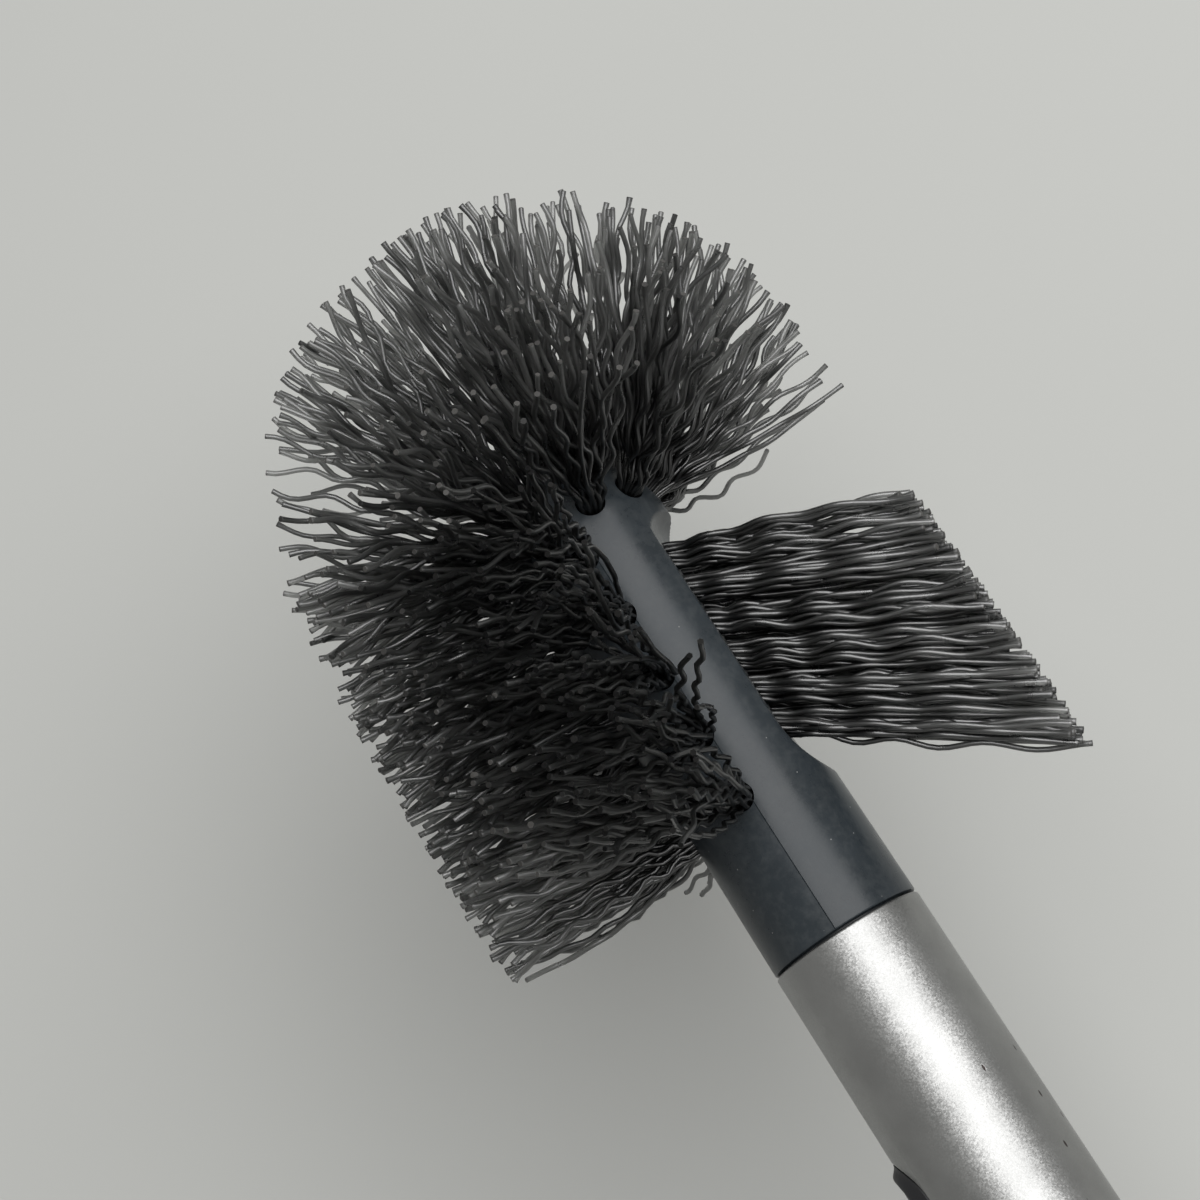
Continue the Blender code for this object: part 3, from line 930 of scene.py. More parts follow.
@dataclass
class HeadCore:
    """The slate head moulding: spigot, collar, stem with its rim-side flat, and domed crown."""

    spigot_length: float = 0.0560
    spigot_radius: float = 0.0095
    spigot_lead_in: float = 0.0006
    joint_ring: float = 0.0006
    bore_radius: float = 0.0073
    bore_floor: float = 0.0060
    bore_corner: float = 0.001
    bore_segments: int = 64
    cut_past: float = 0.002
    slot_clearance: float = 0.0004
    collar_radius: float = 0.0109
    collar_length: float = 0.0192
    collar_edge: float = 0.0003
    collar_steps: int = 3
    waist_radius: float = 0.01075
    crown_radius: float = 0.01115
    crown_start: float = 0.0640
    crown_height: float = 0.0115
    crown_steps: int = 26
    flat_distance: float = 0.0081
    flat_low: float = 0.0280
    flat_high: float = 0.0584
    flat_facing: float = 0.05
    low_run_out: float = 0.0167
    high_run_out: float = 0.0035
    edge_softness: float = 0.00014
    parting_step: float = 0.00012
    shoulder_drop: float = 0.00014
    shoulder_turn: float = math.radians(10.0)
    seam_half_width: float = 0.00007
    seam_depth: float = 0.00010
    pole_radius: float = 0.0004
    hole_radius: float = 0.00206
    hole_chamfer: float = 0.00018
    hole_lift: float = 0.00005
    hole_cut_past: float = 0.0015
    hole_segments: int = 28
    # Rows of the blank's rings up the stem: the first ring, the pitch and how many there are.
    ring_rows: tuple[tuple[float, float, int], ...] = (
        (0.0010, 0.0006, 24),
        (0.0154, 0.0004, 33),
        (0.0290, 0.0016, 18),
        (0.0580, 0.00022, 20),
    )
    last_rings: tuple[float, float] = (0.0626, 0.0633)
    segments: int = 144
    smooth: float = math.radians(28.0)
    button: Button = Button()

    @property
    def top(self) -> float:
        """The crown's highest point above the joint."""
        return self.crown_start + self.crown_height

    def round_radius(self, s: float) -> float:
        """Work out the moulding's radius away from its flat.

        Args:
            s: Distance above the joint.

        Returns:
            The radius.
        """
        if s <= self.collar_length:
            taper = self.waist_radius - self.collar_radius
            return self.collar_radius + taper * s / self.collar_length
        if s <= self.crown_start:
            share = (s - self.collar_length) / (self.crown_start - self.collar_length)
            return self.waist_radius + (self.crown_radius - self.waist_radius) * share
        rise = min((s - self.crown_start) / self.crown_height, 1)
        return self.crown_radius * math.sqrt(1 - rise**2)

    def flat_height(self, s: float) -> float:
        """Work out the flat's distance from the axis, with the run-outs at its two ends.

        Args:
            s: Distance above the joint.

        Returns:
            The distance, endless where there is no flat.
        """
        if s < self.flat_low:
            share = min((self.flat_low - s) / self.low_run_out, 1)
            return self.flat_distance + self.low_run_out * (1 - math.sqrt(1 - share**2))
        if s > self.flat_high:
            share = (s - self.flat_high) / self.high_run_out
            if share >= 1:
                return math.inf
            return self.flat_distance + self.high_run_out * (1 - math.sqrt(1 - share**2))
        return self.flat_distance

    def stations(self) -> list[float]:
        """List where the rings of the blank stand, closest together at the run-outs.

        Returns:
            Distances above the joint.
        """
        steps = self.collar_steps
        fine = [self.collar_edge * k / steps for k in range(1, steps + 1)]
        for first, pitch, count in self.ring_rows:
            fine += [first + pitch * k for k in range(count)]
        fine += [*self.last_rings, self.crown_start]
        turn = [math.radians(90 * k / self.crown_steps) for k in range(1, self.crown_steps)]
        fine += [self.crown_start + self.crown_height * math.sin(angle) for angle in turn]
        return fine

    def blank(self) -> bmesh.types.BMesh:
        """Make the moulding before its holes: a spun shell with the flat and the parting line.

        Returns:
            The closed shell.
        """
        lead = self.spigot_lead_in
        profile = [(-self.spigot_length, 0.0), (-self.spigot_length, self.spigot_radius - lead)]
        profile.append((-self.spigot_length + lead, self.spigot_radius))
        profile.append((-self.joint_ring, self.spigot_radius))
        profile += [(0.0, self.spigot_radius), (0.0, self.collar_radius - self.collar_edge)]
        profile += [(s, self.edge_radius(s)) for s in self.stations()]
        profile.append((self.top, 0.0))
        points = [(JOINT_X + s, radius) for s, radius in profile]
        bm = turned(points, self.segments, closed=False)
        for offset in (-self.seam_half_width, self.seam_half_width):
            bmesh.ops.bisect_plane(
                bm, geom=[*bm.verts, *bm.edges, *bm.faces], dist=MERGE_DISTANCE,
                plane_co=(0, offset, 0), plane_no=(0, 1, 0),
            )
        for vert in bm.verts:
            self.shape(vert)
        bmesh.ops.remove_doubles(bm, verts=bm.verts, dist=MERGE_DISTANCE)
        bmesh.ops.recalc_face_normals(bm, faces=bm.faces)
        return bm

    def edge_radius(self, s: float) -> float:
        """Return the round radius with the collar's lower edge rounded."""
        drop = max(0.0, 1 - s / self.collar_edge)
        return self.round_radius(s) - self.collar_edge * (1 - math.sqrt(1 - drop**2))

    def shape(self, vert: bmesh.types.BMVert) -> None:
        """Move one vertex of the spun shell to the flat, the proud half or the parting groove.

        Args:
            vert: The vertex.
        """
        s = vert.co.x - JOINT_X
        radius = math.hypot(vert.co.y, vert.co.z)
        if s <= 0 or radius < self.pole_radius:
            return
        facing = -vert.co.y / radius
        if facing > self.flat_facing:
            limit = self.flat_height(s) / facing
            blend = max(self.edge_softness - abs(radius - limit), 0.0) / self.edge_softness
            radius = min(radius, limit) - blend * blend * self.edge_softness / 4
        fade = min(1.0, radius / self.crown_radius)
        if vert.co.y > self.seam_half_width / 2:
            from_seam = math.asin(min(1.0, vert.co.y / math.hypot(vert.co.y, vert.co.z)))
            drop = self.shoulder_drop * (1 - math.exp(-from_seam / self.shoulder_turn))
            radius += (self.parting_step - drop) * fade
        elif abs(vert.co.y) < self.seam_half_width / 2:
            radius -= self.seam_depth * fade
        scale = radius / math.hypot(vert.co.y, vert.co.z)
        vert.co.y *= scale
        vert.co.z *= scale

    def build(self, seats: Sequence[tuple[Matrix, float]]) -> bpy.types.Object:
        """Return the moulding with its bore, tongue slot and a chamfered hole for each tuft.

        Args:
            seats: Each tuft's seat and the depth of its hole.

        Returns:
            The finished object.
        """
        item = object_of("head_core_slate", self.blank())
        open_end = JOINT_X - self.spigot_length - self.cut_past
        floor = JOINT_X - self.bore_floor
        bore = [(open_end, 0.0), (open_end, self.bore_radius)]
        bore.append((floor - self.bore_corner, self.bore_radius))
        bore += [(floor, self.bore_radius - self.bore_corner), (floor, 0.0)]
        cutters = [object_of("bore", turned(bore, self.bore_segments, closed=False))]
        half = self.button.width / 2 + FIT_GAP
        end = JOINT_X - self.button.start - self.button.length - self.slot_clearance
        root = JOINT_X - self.button.tongue_root
        corners = ((end, -half), (root, -half), (root, half), (end, half))
        outline = [Vector((x, 0, z)) for x, z in corners]
        cutters.append(object_of("slot", pushed(outline, Vector((0, TUBE_RADIUS, 0)))))
        combined(item, cutters, "DIFFERENCE")
        combined(item, [self.drills(seats)], "DIFFERENCE")
        shaded(item, self.smooth)
        return item

    def drills(self, seats: Sequence[tuple[Matrix, float]]) -> bpy.types.Object:
        """Make what cuts the tufts' holes.

        Args:
            seats: Each tuft's seat and the depth of its hole.

        Returns:
            All the drills as one helper object.
        """
        mouth = self.hole_radius + self.hole_chamfer
        past = self.hole_cut_past
        holes = bmesh.new()
        for seat, depth in seats:
            profile = [(-depth, 0.0), (-depth, self.hole_radius)]
            profile += [(-self.hole_chamfer, self.hole_radius), (self.hole_lift, mouth)]
            profile += [(past, mouth), (past, 0.0)]
            drill = spun_on(seat, profile, self.hole_segments)
            mesh = bpy.data.meshes.new("drill")
            drill.to_mesh(mesh)
            drill.free()
            holes.from_mesh(mesh)
            bpy.data.meshes.remove(mesh)
        return object_of("holes", holes)


@dataclass(frozen=True)
class TrimSurface:
    """The surface that the bristle tips are cut to: a cylinder and, past its centre, a dome."""

    radius: float
    dome_centre: float
    least_slope: float = 1e-9

    def tip(self, root: Vector, direction: Vector) -> Vector:
        """Find where a straight line from a root meets the surface.

        Args:
            root: The line's start, from the joint.
            direction: Its direction.

        Returns:
            The point on the surface.
        """
        way = direction.normalized()
        a = way.y**2 + way.z**2
        if a > self.least_slope:
            b = root.y * way.y + root.z * way.z
            c = root.y**2 + root.z**2 - self.radius**2
            tip = root + way * ((math.sqrt(b * b - a * c) - b) / a)
            if tip.x <= self.dome_centre:
                return tip
        offset = root - Vector((self.dome_centre, 0, 0))
        b = offset.dot(way)
        c = offset.length_squared - self.radius**2
        return root + way * (math.sqrt(b * b - c) - b)


@dataclass(frozen=True)
class Seat:
    """Where one tuft stands, measured from the joint, and where its filaments aim."""

    name: str
    matrix: Matrix
    depth: float
    aim: Aim
    # Painted shade on the tone and gloss of all its filaments; 1 for none.
    tone: float = 1.0

    @staticmethod
    def frame_at(origin: Vector, outward: Vector, along: Vector) -> Matrix:
        """Make a seat whose Z points outward.

        Args:
            origin: Its place, from the joint.
            outward: Where its Z points.
            along: Where its X leans.

        Returns:
            The seat.
        """
        z_axis = outward.normalized()
        x_axis = (along - z_axis * along.dot(z_axis)).normalized()
        y_axis = z_axis.cross(x_axis)
        turned_axes = Matrix((x_axis, y_axis, z_axis)).transposed().to_4x4()
        return Matrix.Translation(origin) @ turned_axes


@dataclass(frozen=True)
class Crimp:
    """The waves pressed into a filament."""

    length: float
    height: float
    spread: float
    straggle: float
    fade: float = 0.15
    stretch: float = 0.30
    length_spread: float = 0.08
    height_spread: float = 0.25
    plane_share: float = 0.5
    rise: float = 0.003

    def turns(self, t: float, waves: float) -> float:
        """Return the waves passed at a share of the length; they get longer towards the tip."""
        return (1 + self.stretch - self.stretch * t) * t * waves


@dataclass
class TuftGroup:
    """A family of tufts with one kind of filament."""

    core: HeadCore
    prefix: str
    filaments: int
    crimp: Crimp
    trim: TrimSurface
    jitter: float
    depth: float = 0.0048
    stations: int = 26
    sides: int = 6
    radius: float = 0.00037
    radius_spread: float = 0.05
    flare: float = 0.25
    root_radius: float = 0.00172
    root_squeeze: float = 0.8
    first_spot: float = 0.4
    mouth_pull: float = 0.40
    uneven: float = 0.0022
    uneven_power: float = 1.6
    strays: float = 0.04
    stray_lean: float = 0.24
    stray_cut: float = 0.40
    stray_bend: float = 2.2
    stray_calm: float = 0.20
    gloss: float = 2.0
    wave_drift: float = math.tau
    wave_plane: float = 0.0

    def seats(self) -> Iterator[Seat]:
        """Yield the seats of the group's tufts."""
        raise NotImplementedError

    def spots(self, rng: random.Random) -> list[tuple[float, float]]:
        """Spread the filaments evenly over the tuft's unit disc.

        Args:
            rng: The source of chance.

        Returns:
            Their places (u, v).
        """
        golden = math.pi * (3 - math.sqrt(5))
        first = rng.random() * math.tau
        places = []
        for k in range(self.filaments):
            reach = math.sqrt((k + self.first_spot) / self.filaments)
            angle = first + k * golden
            places.append((reach * math.cos(angle), reach * math.sin(angle)))
        return places

    def wave_side(self, way: Vector, outward: Vector) -> Vector:
        """Return the side that a filament's waves are measured from, square to its way."""
        return way.cross(outward + SKEW).normalized()

    def line(
        self, seat: Seat, u: float, v: float, wave: float, rng: random.Random
    ) -> list[Vector]:
        """Return the points of one filament from the bottom of its hole to its tip.

        Args:
            seat: The tuft's seat.
            u: Place along the seat's X on the unit disc.
            v: Place along the seat's Y on the unit disc.
            wave: The tuft's own phase, in radians.
            rng: The source of chance.

        Returns:
            The points, measured from the joint.
        """
        at_root = Vector((u * self.root_radius, v * self.root_radius, 0))
        mouth = seat.matrix @ at_root
        outward = (seat.matrix.to_3x3() @ Z_AXIS).normalized()
        lean_u = u + rng.gauss(0, self.jitter)
        lean_v = v + rng.gauss(0, self.jitter)
        stray = rng.random() < self.strays
        if stray:
            lean_u += rng.gauss(0, self.stray_lean)
            lean_v += rng.gauss(0, self.stray_lean)
        tip = self.trim.tip(mouth, seat.aim(lean_u, lean_v, mouth))
        way = (tip - mouth).normalized()
        tip -= way * self.uneven * rng.random() ** self.uneven_power
        if stray:
            tip -= way * self.stray_cut * rng.random() * (tip - mouth).length
        length = (tip - mouth).length
        start = (outward * self.mouth_pull + way * (1 - self.mouth_pull)) * length
        finish = way * length

        crimp = self.crimp
        across = self.wave_side(way, outward)
        upward = way.cross(across)
        plane = self.wave_plane + wave * crimp.plane_share + rng.gauss(0, crimp.spread)
        swing = across * math.cos(plane) + upward * math.sin(plane)
        bend = crimp.straggle * (self.stray_bend if stray else 1.0)
        bow = across * rng.gauss(0, bend) + upward * rng.gauss(0, bend)
        wave_length = crimp.length * (1 + rng.gauss(0, crimp.length_spread))
        height = crimp.height * (1 + rng.gauss(0, crimp.height_spread))
        height *= self.stray_calm if stray else 1.0
        phase = wave + rng.gauss(0, crimp.spread)

        points = [seat.matrix @ (at_root * self.root_squeeze - Z_AXIS * (seat.depth - FIT_GAP))]
        for station in range(self.stations):
            t = station / (self.stations - 1)
            point = mouth * (2 * t**3 - 3 * t**2 + 1) + start * (t**3 - 2 * t**2 + t)
            point += tip * (3 * t**2 - 2 * t**3) + finish * (t**3 - t**2)
            rise = smooth_step(t * length / crimp.rise)
            turns = crimp.turns(t, length / wave_length)
            level = height * rise * (1 - crimp.fade * t)
            point += swing * level * math.sin(phase + math.tau * turns)
            point += bow * math.sin(math.pi * t) * rise
            points.append(point)
        return points

    def build(self, seat: Seat, rng: random.Random) -> bpy.types.Object:
        """Return one tuft as a mesh of round filaments, with a shade for each.

        Args:
            seat: The tuft's seat.
            rng: The source of chance.

        Returns:
            The finished object.
        """
        curve = bpy.data.curves.new(seat.name, "CURVE")
        curve.dimensions = "3D"
        curve.bevel_depth = 1.0
        # A full round bevel has 2 * (resolution + 2) sides.
        curve.bevel_resolution = self.sides // 2 - 2
        wave = rng.random() * self.wave_drift
        shades = []
        reaches = []
        glosses = []
        for u, v in self.spots(rng):
            points = self.line(seat, u, v, wave, rng)
            spline = curve.splines.new("POLY")
            spline.points.add(len(points) - 1)
            flare = 1.0 + self.flare * rng.random() ** 2
            thickness = self.radius * (1 + rng.gauss(0, self.radius_spread))
            # The filament's own random tone, times the seat's painted shade, which lowers its
            # gloss too.
            shade = rng.random() * seat.tone
            for index, (target, point) in enumerate(zip(spline.points, points)):
                target.co = (point.x + JOINT_X, point.y, point.z, 1)
                last = index == len(points) - 1
                target.radius = thickness * (flare if last else 1.0)
                shades.append(shade)
                reaches.append(index / (len(points) - 1))
                glosses.append(self.gloss * seat.tone)
        marks = {"shade": shades, "reach": reaches, "gloss": glosses}
        return self.solid(seat.name + "_filaments", curve, marks)

    @staticmethod
    def solid(
        name: str, curve: bpy.types.Curve, marks: dict[str, list[float]]
    ) -> bpy.types.Object:
        """Turn a bevelled curve into a mesh with closed ends.

        Args:
            name: The object's name.
            curve: The curve, which is removed.
            marks: Attribute values, one for each of the curve's points in order.

        Returns:
            The object.
        """
        holder = bpy.data.objects.new(name + "_line", curve)
        bpy.context.scene.collection.objects.link(holder)
        graph = bpy.context.evaluated_depsgraph_get()
        mesh = bpy.data.meshes.new_from_object(holder.evaluated_get(graph))
        bpy.data.objects.remove(holder, do_unlink=True)
        bpy.data.curves.remove(curve)
        for mark, values in marks.items():
            sides = len(mesh.vertices) // len(values)
            layer = mesh.attributes.new(mark, "FLOAT", "POINT")
            layer.data.foreach_set("value", np.repeat(np.array(values, np.float32), sides))
        bm = bmesh.new()
        bm.from_mesh(mesh)
        ends = [edge for edge in bm.edges if edge.is_boundary]
        bmesh.ops.holes_fill(bm, edges=ends, sides=0)
        for edge in ends:
            edge.smooth = False
        bmesh.ops.recalc_face_normals(bm, faces=bm.faces)
        bm.to_mesh(mesh)
        bm.free()
        mesh.name = name
        return linked(name, mesh)


@dataclass
class FieldBristles(TuftGroup):
    """The main bristle field: five rows of tufts round one side of the stem."""

    prefix: str = "field_tuft"
    filaments: int = 34
    crimp: Crimp = Crimp(length=0.0060, height=0.00050, spread=0.8, straggle=0.0013)
    trim: TrimSurface = TrimSurface(radius=0.0420, dome_centre=0.0794)
    jitter: float = 0.26
    root_radius: float = 0.00182
    uneven: float = 0.0018
    stray_lean: float = 0.14
    gloss: float = 1.9
    start: float = 0.0213
    pitch: float = 0.0097
    rows: int = 5
    row_tufts: int = 5
    edge_angle: float = math.radians(97.0)
    edge_aim: float = math.radians(103.5)
    fan: float = 0.0050
    fan_angle: float = math.radians(20.0)
    edge_fan: float = 0.90
    # Painted shade on the outer rows: the tone and gloss of their filaments are scaled down to
    # this.
    edge_painted_shade: float = 0.16
    low_shift: float = 0.0004
    far_shift: float = 0.0034

    def seats(self) -> Iterator[Seat]:
        """Place the tufts of the field, row by row; the outer rows get painted shade, darker and
        less glossy.

        Yields:
            The seats.
        """
        number = 0
        for row in range(self.rows):
            share = row / (self.rows - 1)
            angle = self.edge_angle + share * (math.tau - 2 * self.edge_angle)
            aimed = self.edge_aim + share * (math.tau - 2 * self.edge_aim)
            inward = math.sin(math.pi * share)
            # Painted shade, strongest on the two outer rows and none on the middle row.
            tone = self.edge_painted_shade + (1 - self.edge_painted_shade) * inward
            fan_angle = self.fan_angle * (self.edge_fan + (1 - self.edge_fan) * inward)
            odd = row % 2
            for place in range(self.row_tufts - odd):
                number += 1
                s = self.start + (place + odd / 2) * self.pitch
                origin = around(s, self.core.round_radius(s) + self.core.parting_step, angle)
                matrix = Seat.frame_at(origin, around(0, 1, angle), X_AXIS)
                shift_up = self.low_shift + self.far_shift * share if place == 0 else 0.0
                aim = self.aim(s + shift_up, aimed, fan_angle)
                yield Seat(f"{self.prefix}_{number:02d}", matrix, self.depth, aim, tone)

    def aim(self, s: float, aimed: float, fan_angle: float) -> Aim:
        """Choose where a tuft of the field points.

        Args:
            s: Where its middle filament ends, above the joint.
            aimed: Its angle round the axis.
            fan_angle: How far it fans out round the axis.

        Returns:
            The aim.
        """
        def towards(u: float, v: float, root: Vector) -> Vector:
            """Return a filament's direction."""
            return around(s + u * self.fan, self.trim.radius, aimed + v * fan_angle) - root

        return towards


@dataclass
class CrownBristles(TuftGroup):
    """The crown's tufts: a ring of ten, a ring of five and one on top."""

    prefix: str = "crown_tuft"
    filaments: int = 46
    crimp: Crimp = Crimp(length=0.0086, height=0.00066, spread=0.48, straggle=0.0013)
    trim: TrimSurface = TrimSurface(radius=0.0412, dome_centre=0.0752)
    jitter: float = 0.18
    depth: float = 0.0034
    stations: int = 28
    root_radius: float = 0.00162
    strays: float = 0.015
    stray_bend: float = 1.5
    ring_heights: Range = (0.0664, 0.0728)
    ring_counts: tuple[int, int] = (10, 5)
    ring_rises: Range = (math.radians(18.0), math.radians(54.0))
    ring_spreads: Range = (math.radians(20.0), math.radians(37.0))
    ring_fans: Range = (math.radians(18.5), math.radians(24.0))
    far_lifts: Range = (math.radians(16.0), math.radians(19.0))
    near_lift: float = math.radians(10.0)
    rim_lift: float = math.radians(8.0)
    rim_opening: float = 0.45
    opening_power: int = 4
    field_drop: float = math.radians(7.0)
    top_fan: float = math.radians(34.0)

    @staticmethod
    def direction(rise: float, angle: float) -> Vector:
        """Return the unit direction with a rise towards +X, at an angle round the axis."""
        return around(math.sin(rise), math.cos(rise), angle)

    def seats(self) -> Iterator[Seat]:
        """Place the tufts of the two rings, then the one on top.

        Yields:
            The seats.
        """
        number = 0
        for ring, count in enumerate(self.ring_counts):
            s = self.ring_heights[ring]
            rise = self.ring_rises[ring]
            for k in range(count):
                number += 1
                angle = math.tau * k / count
                origin = around(s, self.core.round_radius(s), angle)
                matrix = Seat.frame_at(origin, self.direction(rise, angle), X_AXIS)
                aim = self.ring_aim(rise + self.lift(angle, ring), angle, ring)
                yield Seat(f"{self.prefix}_{number:02d}", matrix, self.depth, aim)
        summit = Vector((self.core.top, 0, 0))
        top = Seat.frame_at(summit, X_AXIS, Vector((0, 1, 0)))
        yield Seat(f"{self.prefix}_{number + 1:02d}", top, self.depth, self.top_aim(top))

    def lift(self, angle: float, ring: int) -> float:
        """Work out how much more a ring's tuft rises at an angle round the axis.

        The far and near sides rise. In the low ring the near side's rise fades towards the
        field, the rim side rises too, and the side over the field drops.

        Args:
            angle: The angle.
            ring: 0 for the low ring and 1 for the high one.

        Returns:
            The added rise.
        """
        far = self.far_lifts[ring] * max(0.0, -math.sin(angle))
        near = self.near_lift * max(0.0, math.sin(angle))
        if ring > 0:
            return far + near
        near *= (1 + math.cos(angle)) / 2
        side = self.rim_lift if math.cos(angle) > 0 else self.field_drop
        return far + near + side * math.cos(angle)

    def ring_aim(self, rise: float, angle: float, ring: int) -> Aim:
        """Choose where a ring's tuft points; on the rim side it opens wider.

        Args:
            rise: Its rise towards +X.
            angle: Its angle round the axis.
            ring: 0 for the low ring and 1 for the high one.

        Returns:
            The aim.
        """
        opening = self.rim_opening * max(0.0, math.cos(angle)) ** self.opening_power

        def towards(u: float, v: float, root: Vector) -> Vector:
            """Return a filament's direction."""
            lean = u * self.ring_fans[ring] * (1 + opening)
            return self.direction(rise + lean, angle + v * self.ring_spreads[ring])

        return towards

    def top_aim(self, top: Matrix) -> Aim:
        """Choose where the tuft on top points.

        Args:
            top: Its seat.

        Returns:
            The aim.
        """
        def towards(u: float, v: float, root: Vector) -> Vector:
            """Return a filament's direction."""
            return X_AXIS + (top.to_3x3() @ Vector((u, v, 0))) * math.tan(self.top_fan)

        return towards


@dataclass
class RimBristles(TuftGroup):
    """The rim cleaner: two staggered rows of longer tufts that are swept towards the handle."""

    prefix: str = "rim_tuft"
    filaments: int = 23
    crimp: Crimp = Crimp(length=0.0104, height=0.00060, spread=0.42, straggle=0.0006)
    trim: TrimSurface = TrimSurface(radius=0.0409, dome_centre=0.0794)
    jitter: float = 0.10
    stations: int = 30
    radius: float = 0.00042
    mouth_pull: float = 0.25
    strays: float = 0.02
    gloss: float = 2.6
    wave_drift: float = 1.3
    wave_plane: float = 1.0
    start: float = 0.0281
    pitch: float = 0.0056
    near_tufts: int = 6
    row_offset: float = 0.0025
    low_lean: float = math.radians(35.0)
    high_lean: float = math.radians(25.0)
    tip_offset: float = 0.0042
    fan: float = 0.0034
    side_fan: float = 0.0036

    def seats(self) -> Iterator[Seat]:
        """Place the tufts of the near row, then those of the far row half a pitch further up.

        Yields:
            The seats.
        """
        number = 0
        span = (self.near_tufts - 1) * self.pitch
        flat = self.core.flat_distance
        for side, count, shift in ((1, self.near_tufts, 0.0), (-1, self.near_tufts - 1, 0.5)):
            for place in range(count):
                number += 1
                offset = (place + shift) * self.pitch
                s = self.start + offset
                lean = self.low_lean + (self.high_lean - self.low_lean) * offset / span
                tip_s = s - (self.trim.radius - flat) * math.tan(lean)
                tip = Vector((tip_s, -self.trim.radius, side * self.tip_offset))
                origin = Vector((s, -flat, side * self.row_offset))
                matrix = Seat.frame_at(origin, tip - origin, X_AXIS)
                yield Seat(f"{self.prefix}_{number:02d}", matrix, self.depth, self.aim(tip))

    def wave_side(self, way: Vector, outward: Vector) -> Vector:
        """Return a side along the pack, so that the waves of neighbours nest."""
        return way.cross(Z_AXIS).normalized()

    def aim(self, tip: Vector) -> Aim:
        """Choose where a tuft of the rim cleaner points.

        Args:
            tip: Where its middle filament ends.

        Returns:
            The aim.
        """
        def towards(u: float, v: float, root: Vector) -> Vector:
            """Return a filament's direction."""
            return tip + Vector((u * self.fan, 0, v * self.side_fan)) - root

        return towards


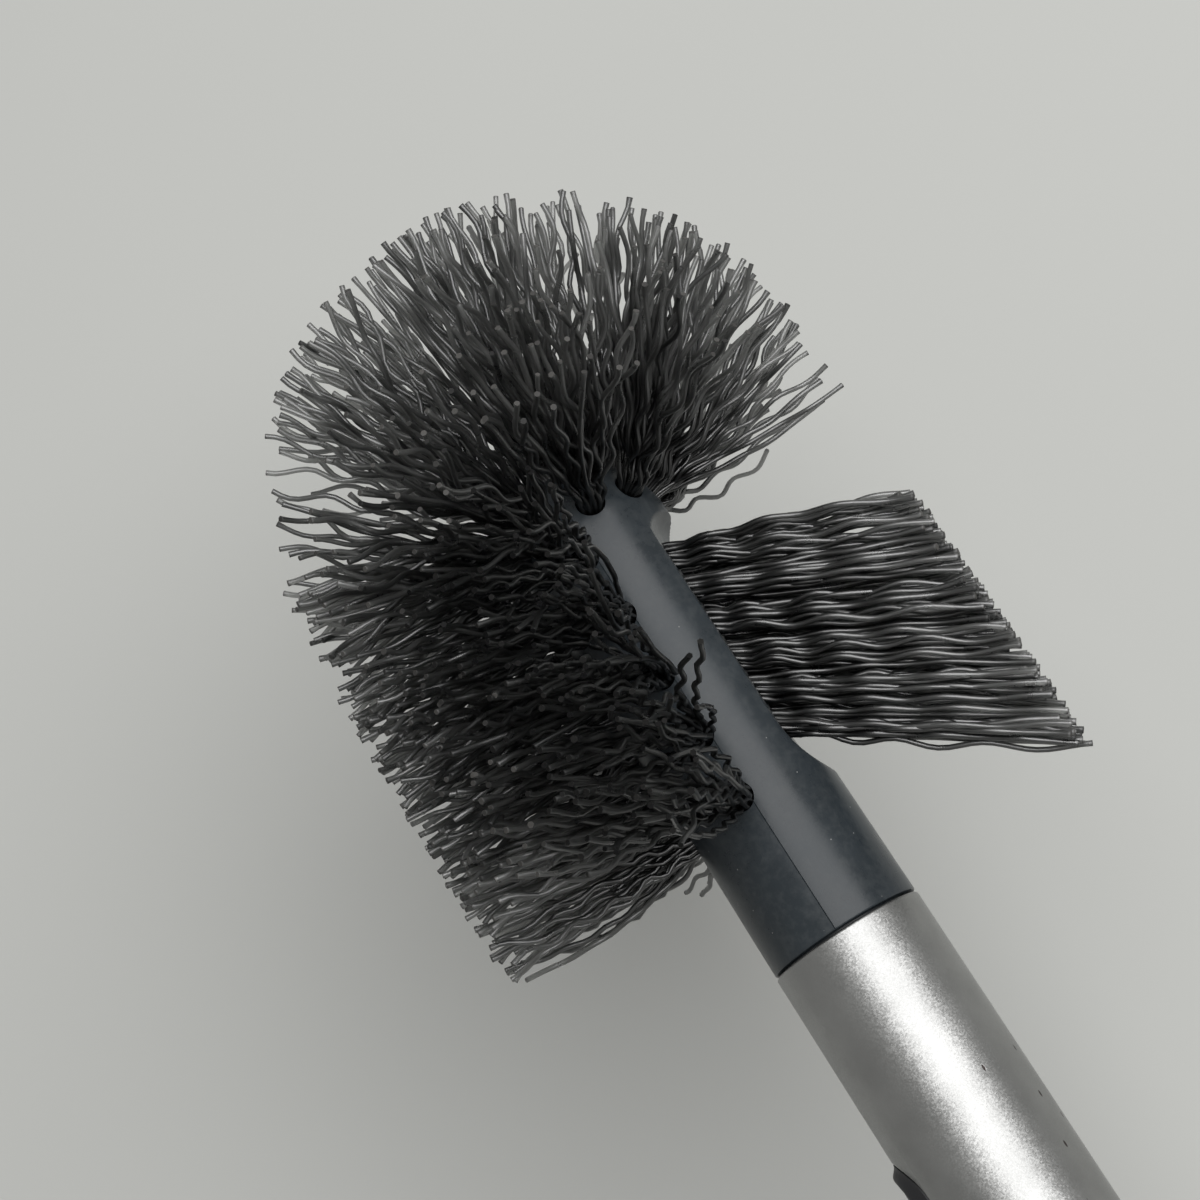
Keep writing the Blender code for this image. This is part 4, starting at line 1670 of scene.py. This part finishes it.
@dataclass
class Studio:
    """A plain pale floor that fades out, one large soft lamp, even air and the camera."""

    floor_height: float = -0.110
    floor_radius: float = 1.2
    floor_segments: int = 128
    floor_colour: Colour = (0.520, 0.525, 0.503)
    floor_shades: Range = (0.98, 1.02)
    floor_cloud: float = 3.0
    floor_roughness: float = 0.75
    floor_specular: float = 0.2
    floor_fade: Range = (0.45, 1.15)
    air: Colour = (0.15, 0.15, 0.1485)
    backdrop: Colour = (0.40, 0.402, 0.390)
    lamp_way: Point = (0.11, -0.43, 1.0)
    lamp_distance: float = 1.6
    lamp_size: float = 1.95
    lamp_power: float = 36.3
    lens: float = 69.3
    sensor: float = 36.0
    clip_start: float = 0.01
    camera_place: Point = (0.25163, -0.02154, 0.30798)
    camera_right: Point = (-0.51767, -0.82711, -0.21888)
    camera_up: Point = (0.80847, -0.55660, 0.19123)
    camera_forward: Point = (0.28000, 0.07797, -0.95683)

    def floor(self) -> None:
        """Lay the floor, which is see-through far from the brush."""
        middle = (JOINT_X, 0.0, self.floor_height)
        bm = bmesh.new()
        bmesh.ops.create_circle(
            bm, cap_ends=True, segments=self.floor_segments, radius=self.floor_radius
        )
        bmesh.ops.translate(bm, verts=bm.verts, vec=middle)
        item = object_of("floor", bm)
        board = NodeBoard("pale_floor", self.floor_colour, self.floor_roughness)
        board.set(specular_ior_level=self.floor_specular)
        place = board.place()
        cloud = board.noise(place, self.floor_cloud, detail=3.0)
        board.feed(board.clouded(cloud, self.floor_colour, self.floor_shades), "Base Color")
        reach = board.maths("VectorMath", "DISTANCE", place, middle).outputs["Value"]
        board.feed(board.fitted(reach, self.floor_fade, FALLING), "Alpha")
        item.data.materials.append(board.material)

    def lamp(self) -> None:
        """Hang the soft lamp over the rim side."""
        data = bpy.data.lights.new("soft_lamp", "AREA")
        data.shape = "DISK"
        data.size = self.lamp_size
        data.energy = self.lamp_power
        item = bpy.data.objects.new("soft_lamp", data)
        bpy.context.scene.collection.objects.link(item)
        way = Vector(self.lamp_way).normalized()
        item.location = X_AXIS * JOINT_X + way * self.lamp_distance
        item.rotation_euler = way.to_track_quat("Z", "Y").to_euler()

    def world(self) -> None:
        """Fill the scene with even air, paler where camera, gloss and glass rays see it."""
        world = bpy.data.worlds.new("studio_air")
        world.use_nodes = True
        tree = world.node_tree
        rays = tree.nodes.new("ShaderNodeLightPath").outputs
        share = rays["Is Camera Ray"]
        for name in ("Is Glossy Ray", "Is Transmission Ray"):
            most = tree.nodes.new("ShaderNodeMath")
            most.operation = "MAXIMUM"
            tree.links.new(share, most.inputs[0])
            tree.links.new(rays[name], most.inputs[1])
            share = most.outputs[0]
        seen = tree.nodes.new("ShaderNodeMix")
        seen.data_type = "RGBA"
        tree.links.new(share, seen.inputs[0])
        colours = [socket for socket in seen.inputs if socket.type == "RGBA"]
        for socket, colour in zip(colours, (self.air, self.backdrop)):
            socket.default_value = (*colour, 1.0)
        mixed = next(socket for socket in seen.outputs if socket.type == "RGBA")
        tree.links.new(mixed, tree.nodes["Background"].inputs["Color"])
        bpy.context.scene.world = world

    def camera(self) -> None:
        """Set the camera at the photograph's viewing angle."""
        data = bpy.data.cameras.new("camera")
        data.lens = self.lens
        data.sensor_width = self.sensor
        data.clip_start = self.clip_start
        item = bpy.data.objects.new("camera", data)
        bpy.context.scene.collection.objects.link(item)
        axes = (self.camera_right, self.camera_up, [-part for part in self.camera_forward])
        matrix = Matrix([Vector(axis) for axis in axes]).transposed().to_4x4()
        matrix.translation = Vector(self.camera_place)
        item.matrix_world = matrix
        bpy.context.scene.camera = item

    def build(self) -> None:
        """Set up the whole studio."""
        bpy.context.scene.view_settings.view_transform = "Standard"
        self.camera()
        self.lamp()
        self.world()
        self.floor()
        LOG.info("studio: floor, lamp, air and camera")


def main() -> None:
    """Set up the studio, then build every piece of the brush in order."""
    logging.basicConfig(level=logging.INFO, format="%(message)s")
    Studio().build()
    dresser = Dresser()

    handle = Handle()
    dresser.dress(handle.tube(), "satin_aluminium", Body.HANDLE, "handle_tube")
    dresser.dress(handle.cap(), "black_plastic", Body.HANDLE, "end_cap")
    dresser.dress(SnapButton().build(), "black_plastic", Body.BUTTON, "snap_button")

    core = HeadCore()
    rng = random.Random(SEED)
    joint = Matrix.Translation((JOINT_X, 0, 0))
    seats = []
    for group in (FieldBristles(core), CrownBristles(core), RimBristles(core)):
        for seat in group.seats():
            dresser.dress(group.build(seat, rng), "charcoal_bristle", Body.HEAD, seat.name)
            seats.append((joint @ seat.matrix, seat.depth))
    dresser.dress(core.build(seats), "slate_plastic", Body.HEAD, "head_core")


if __name__ == "__main__":
    main()
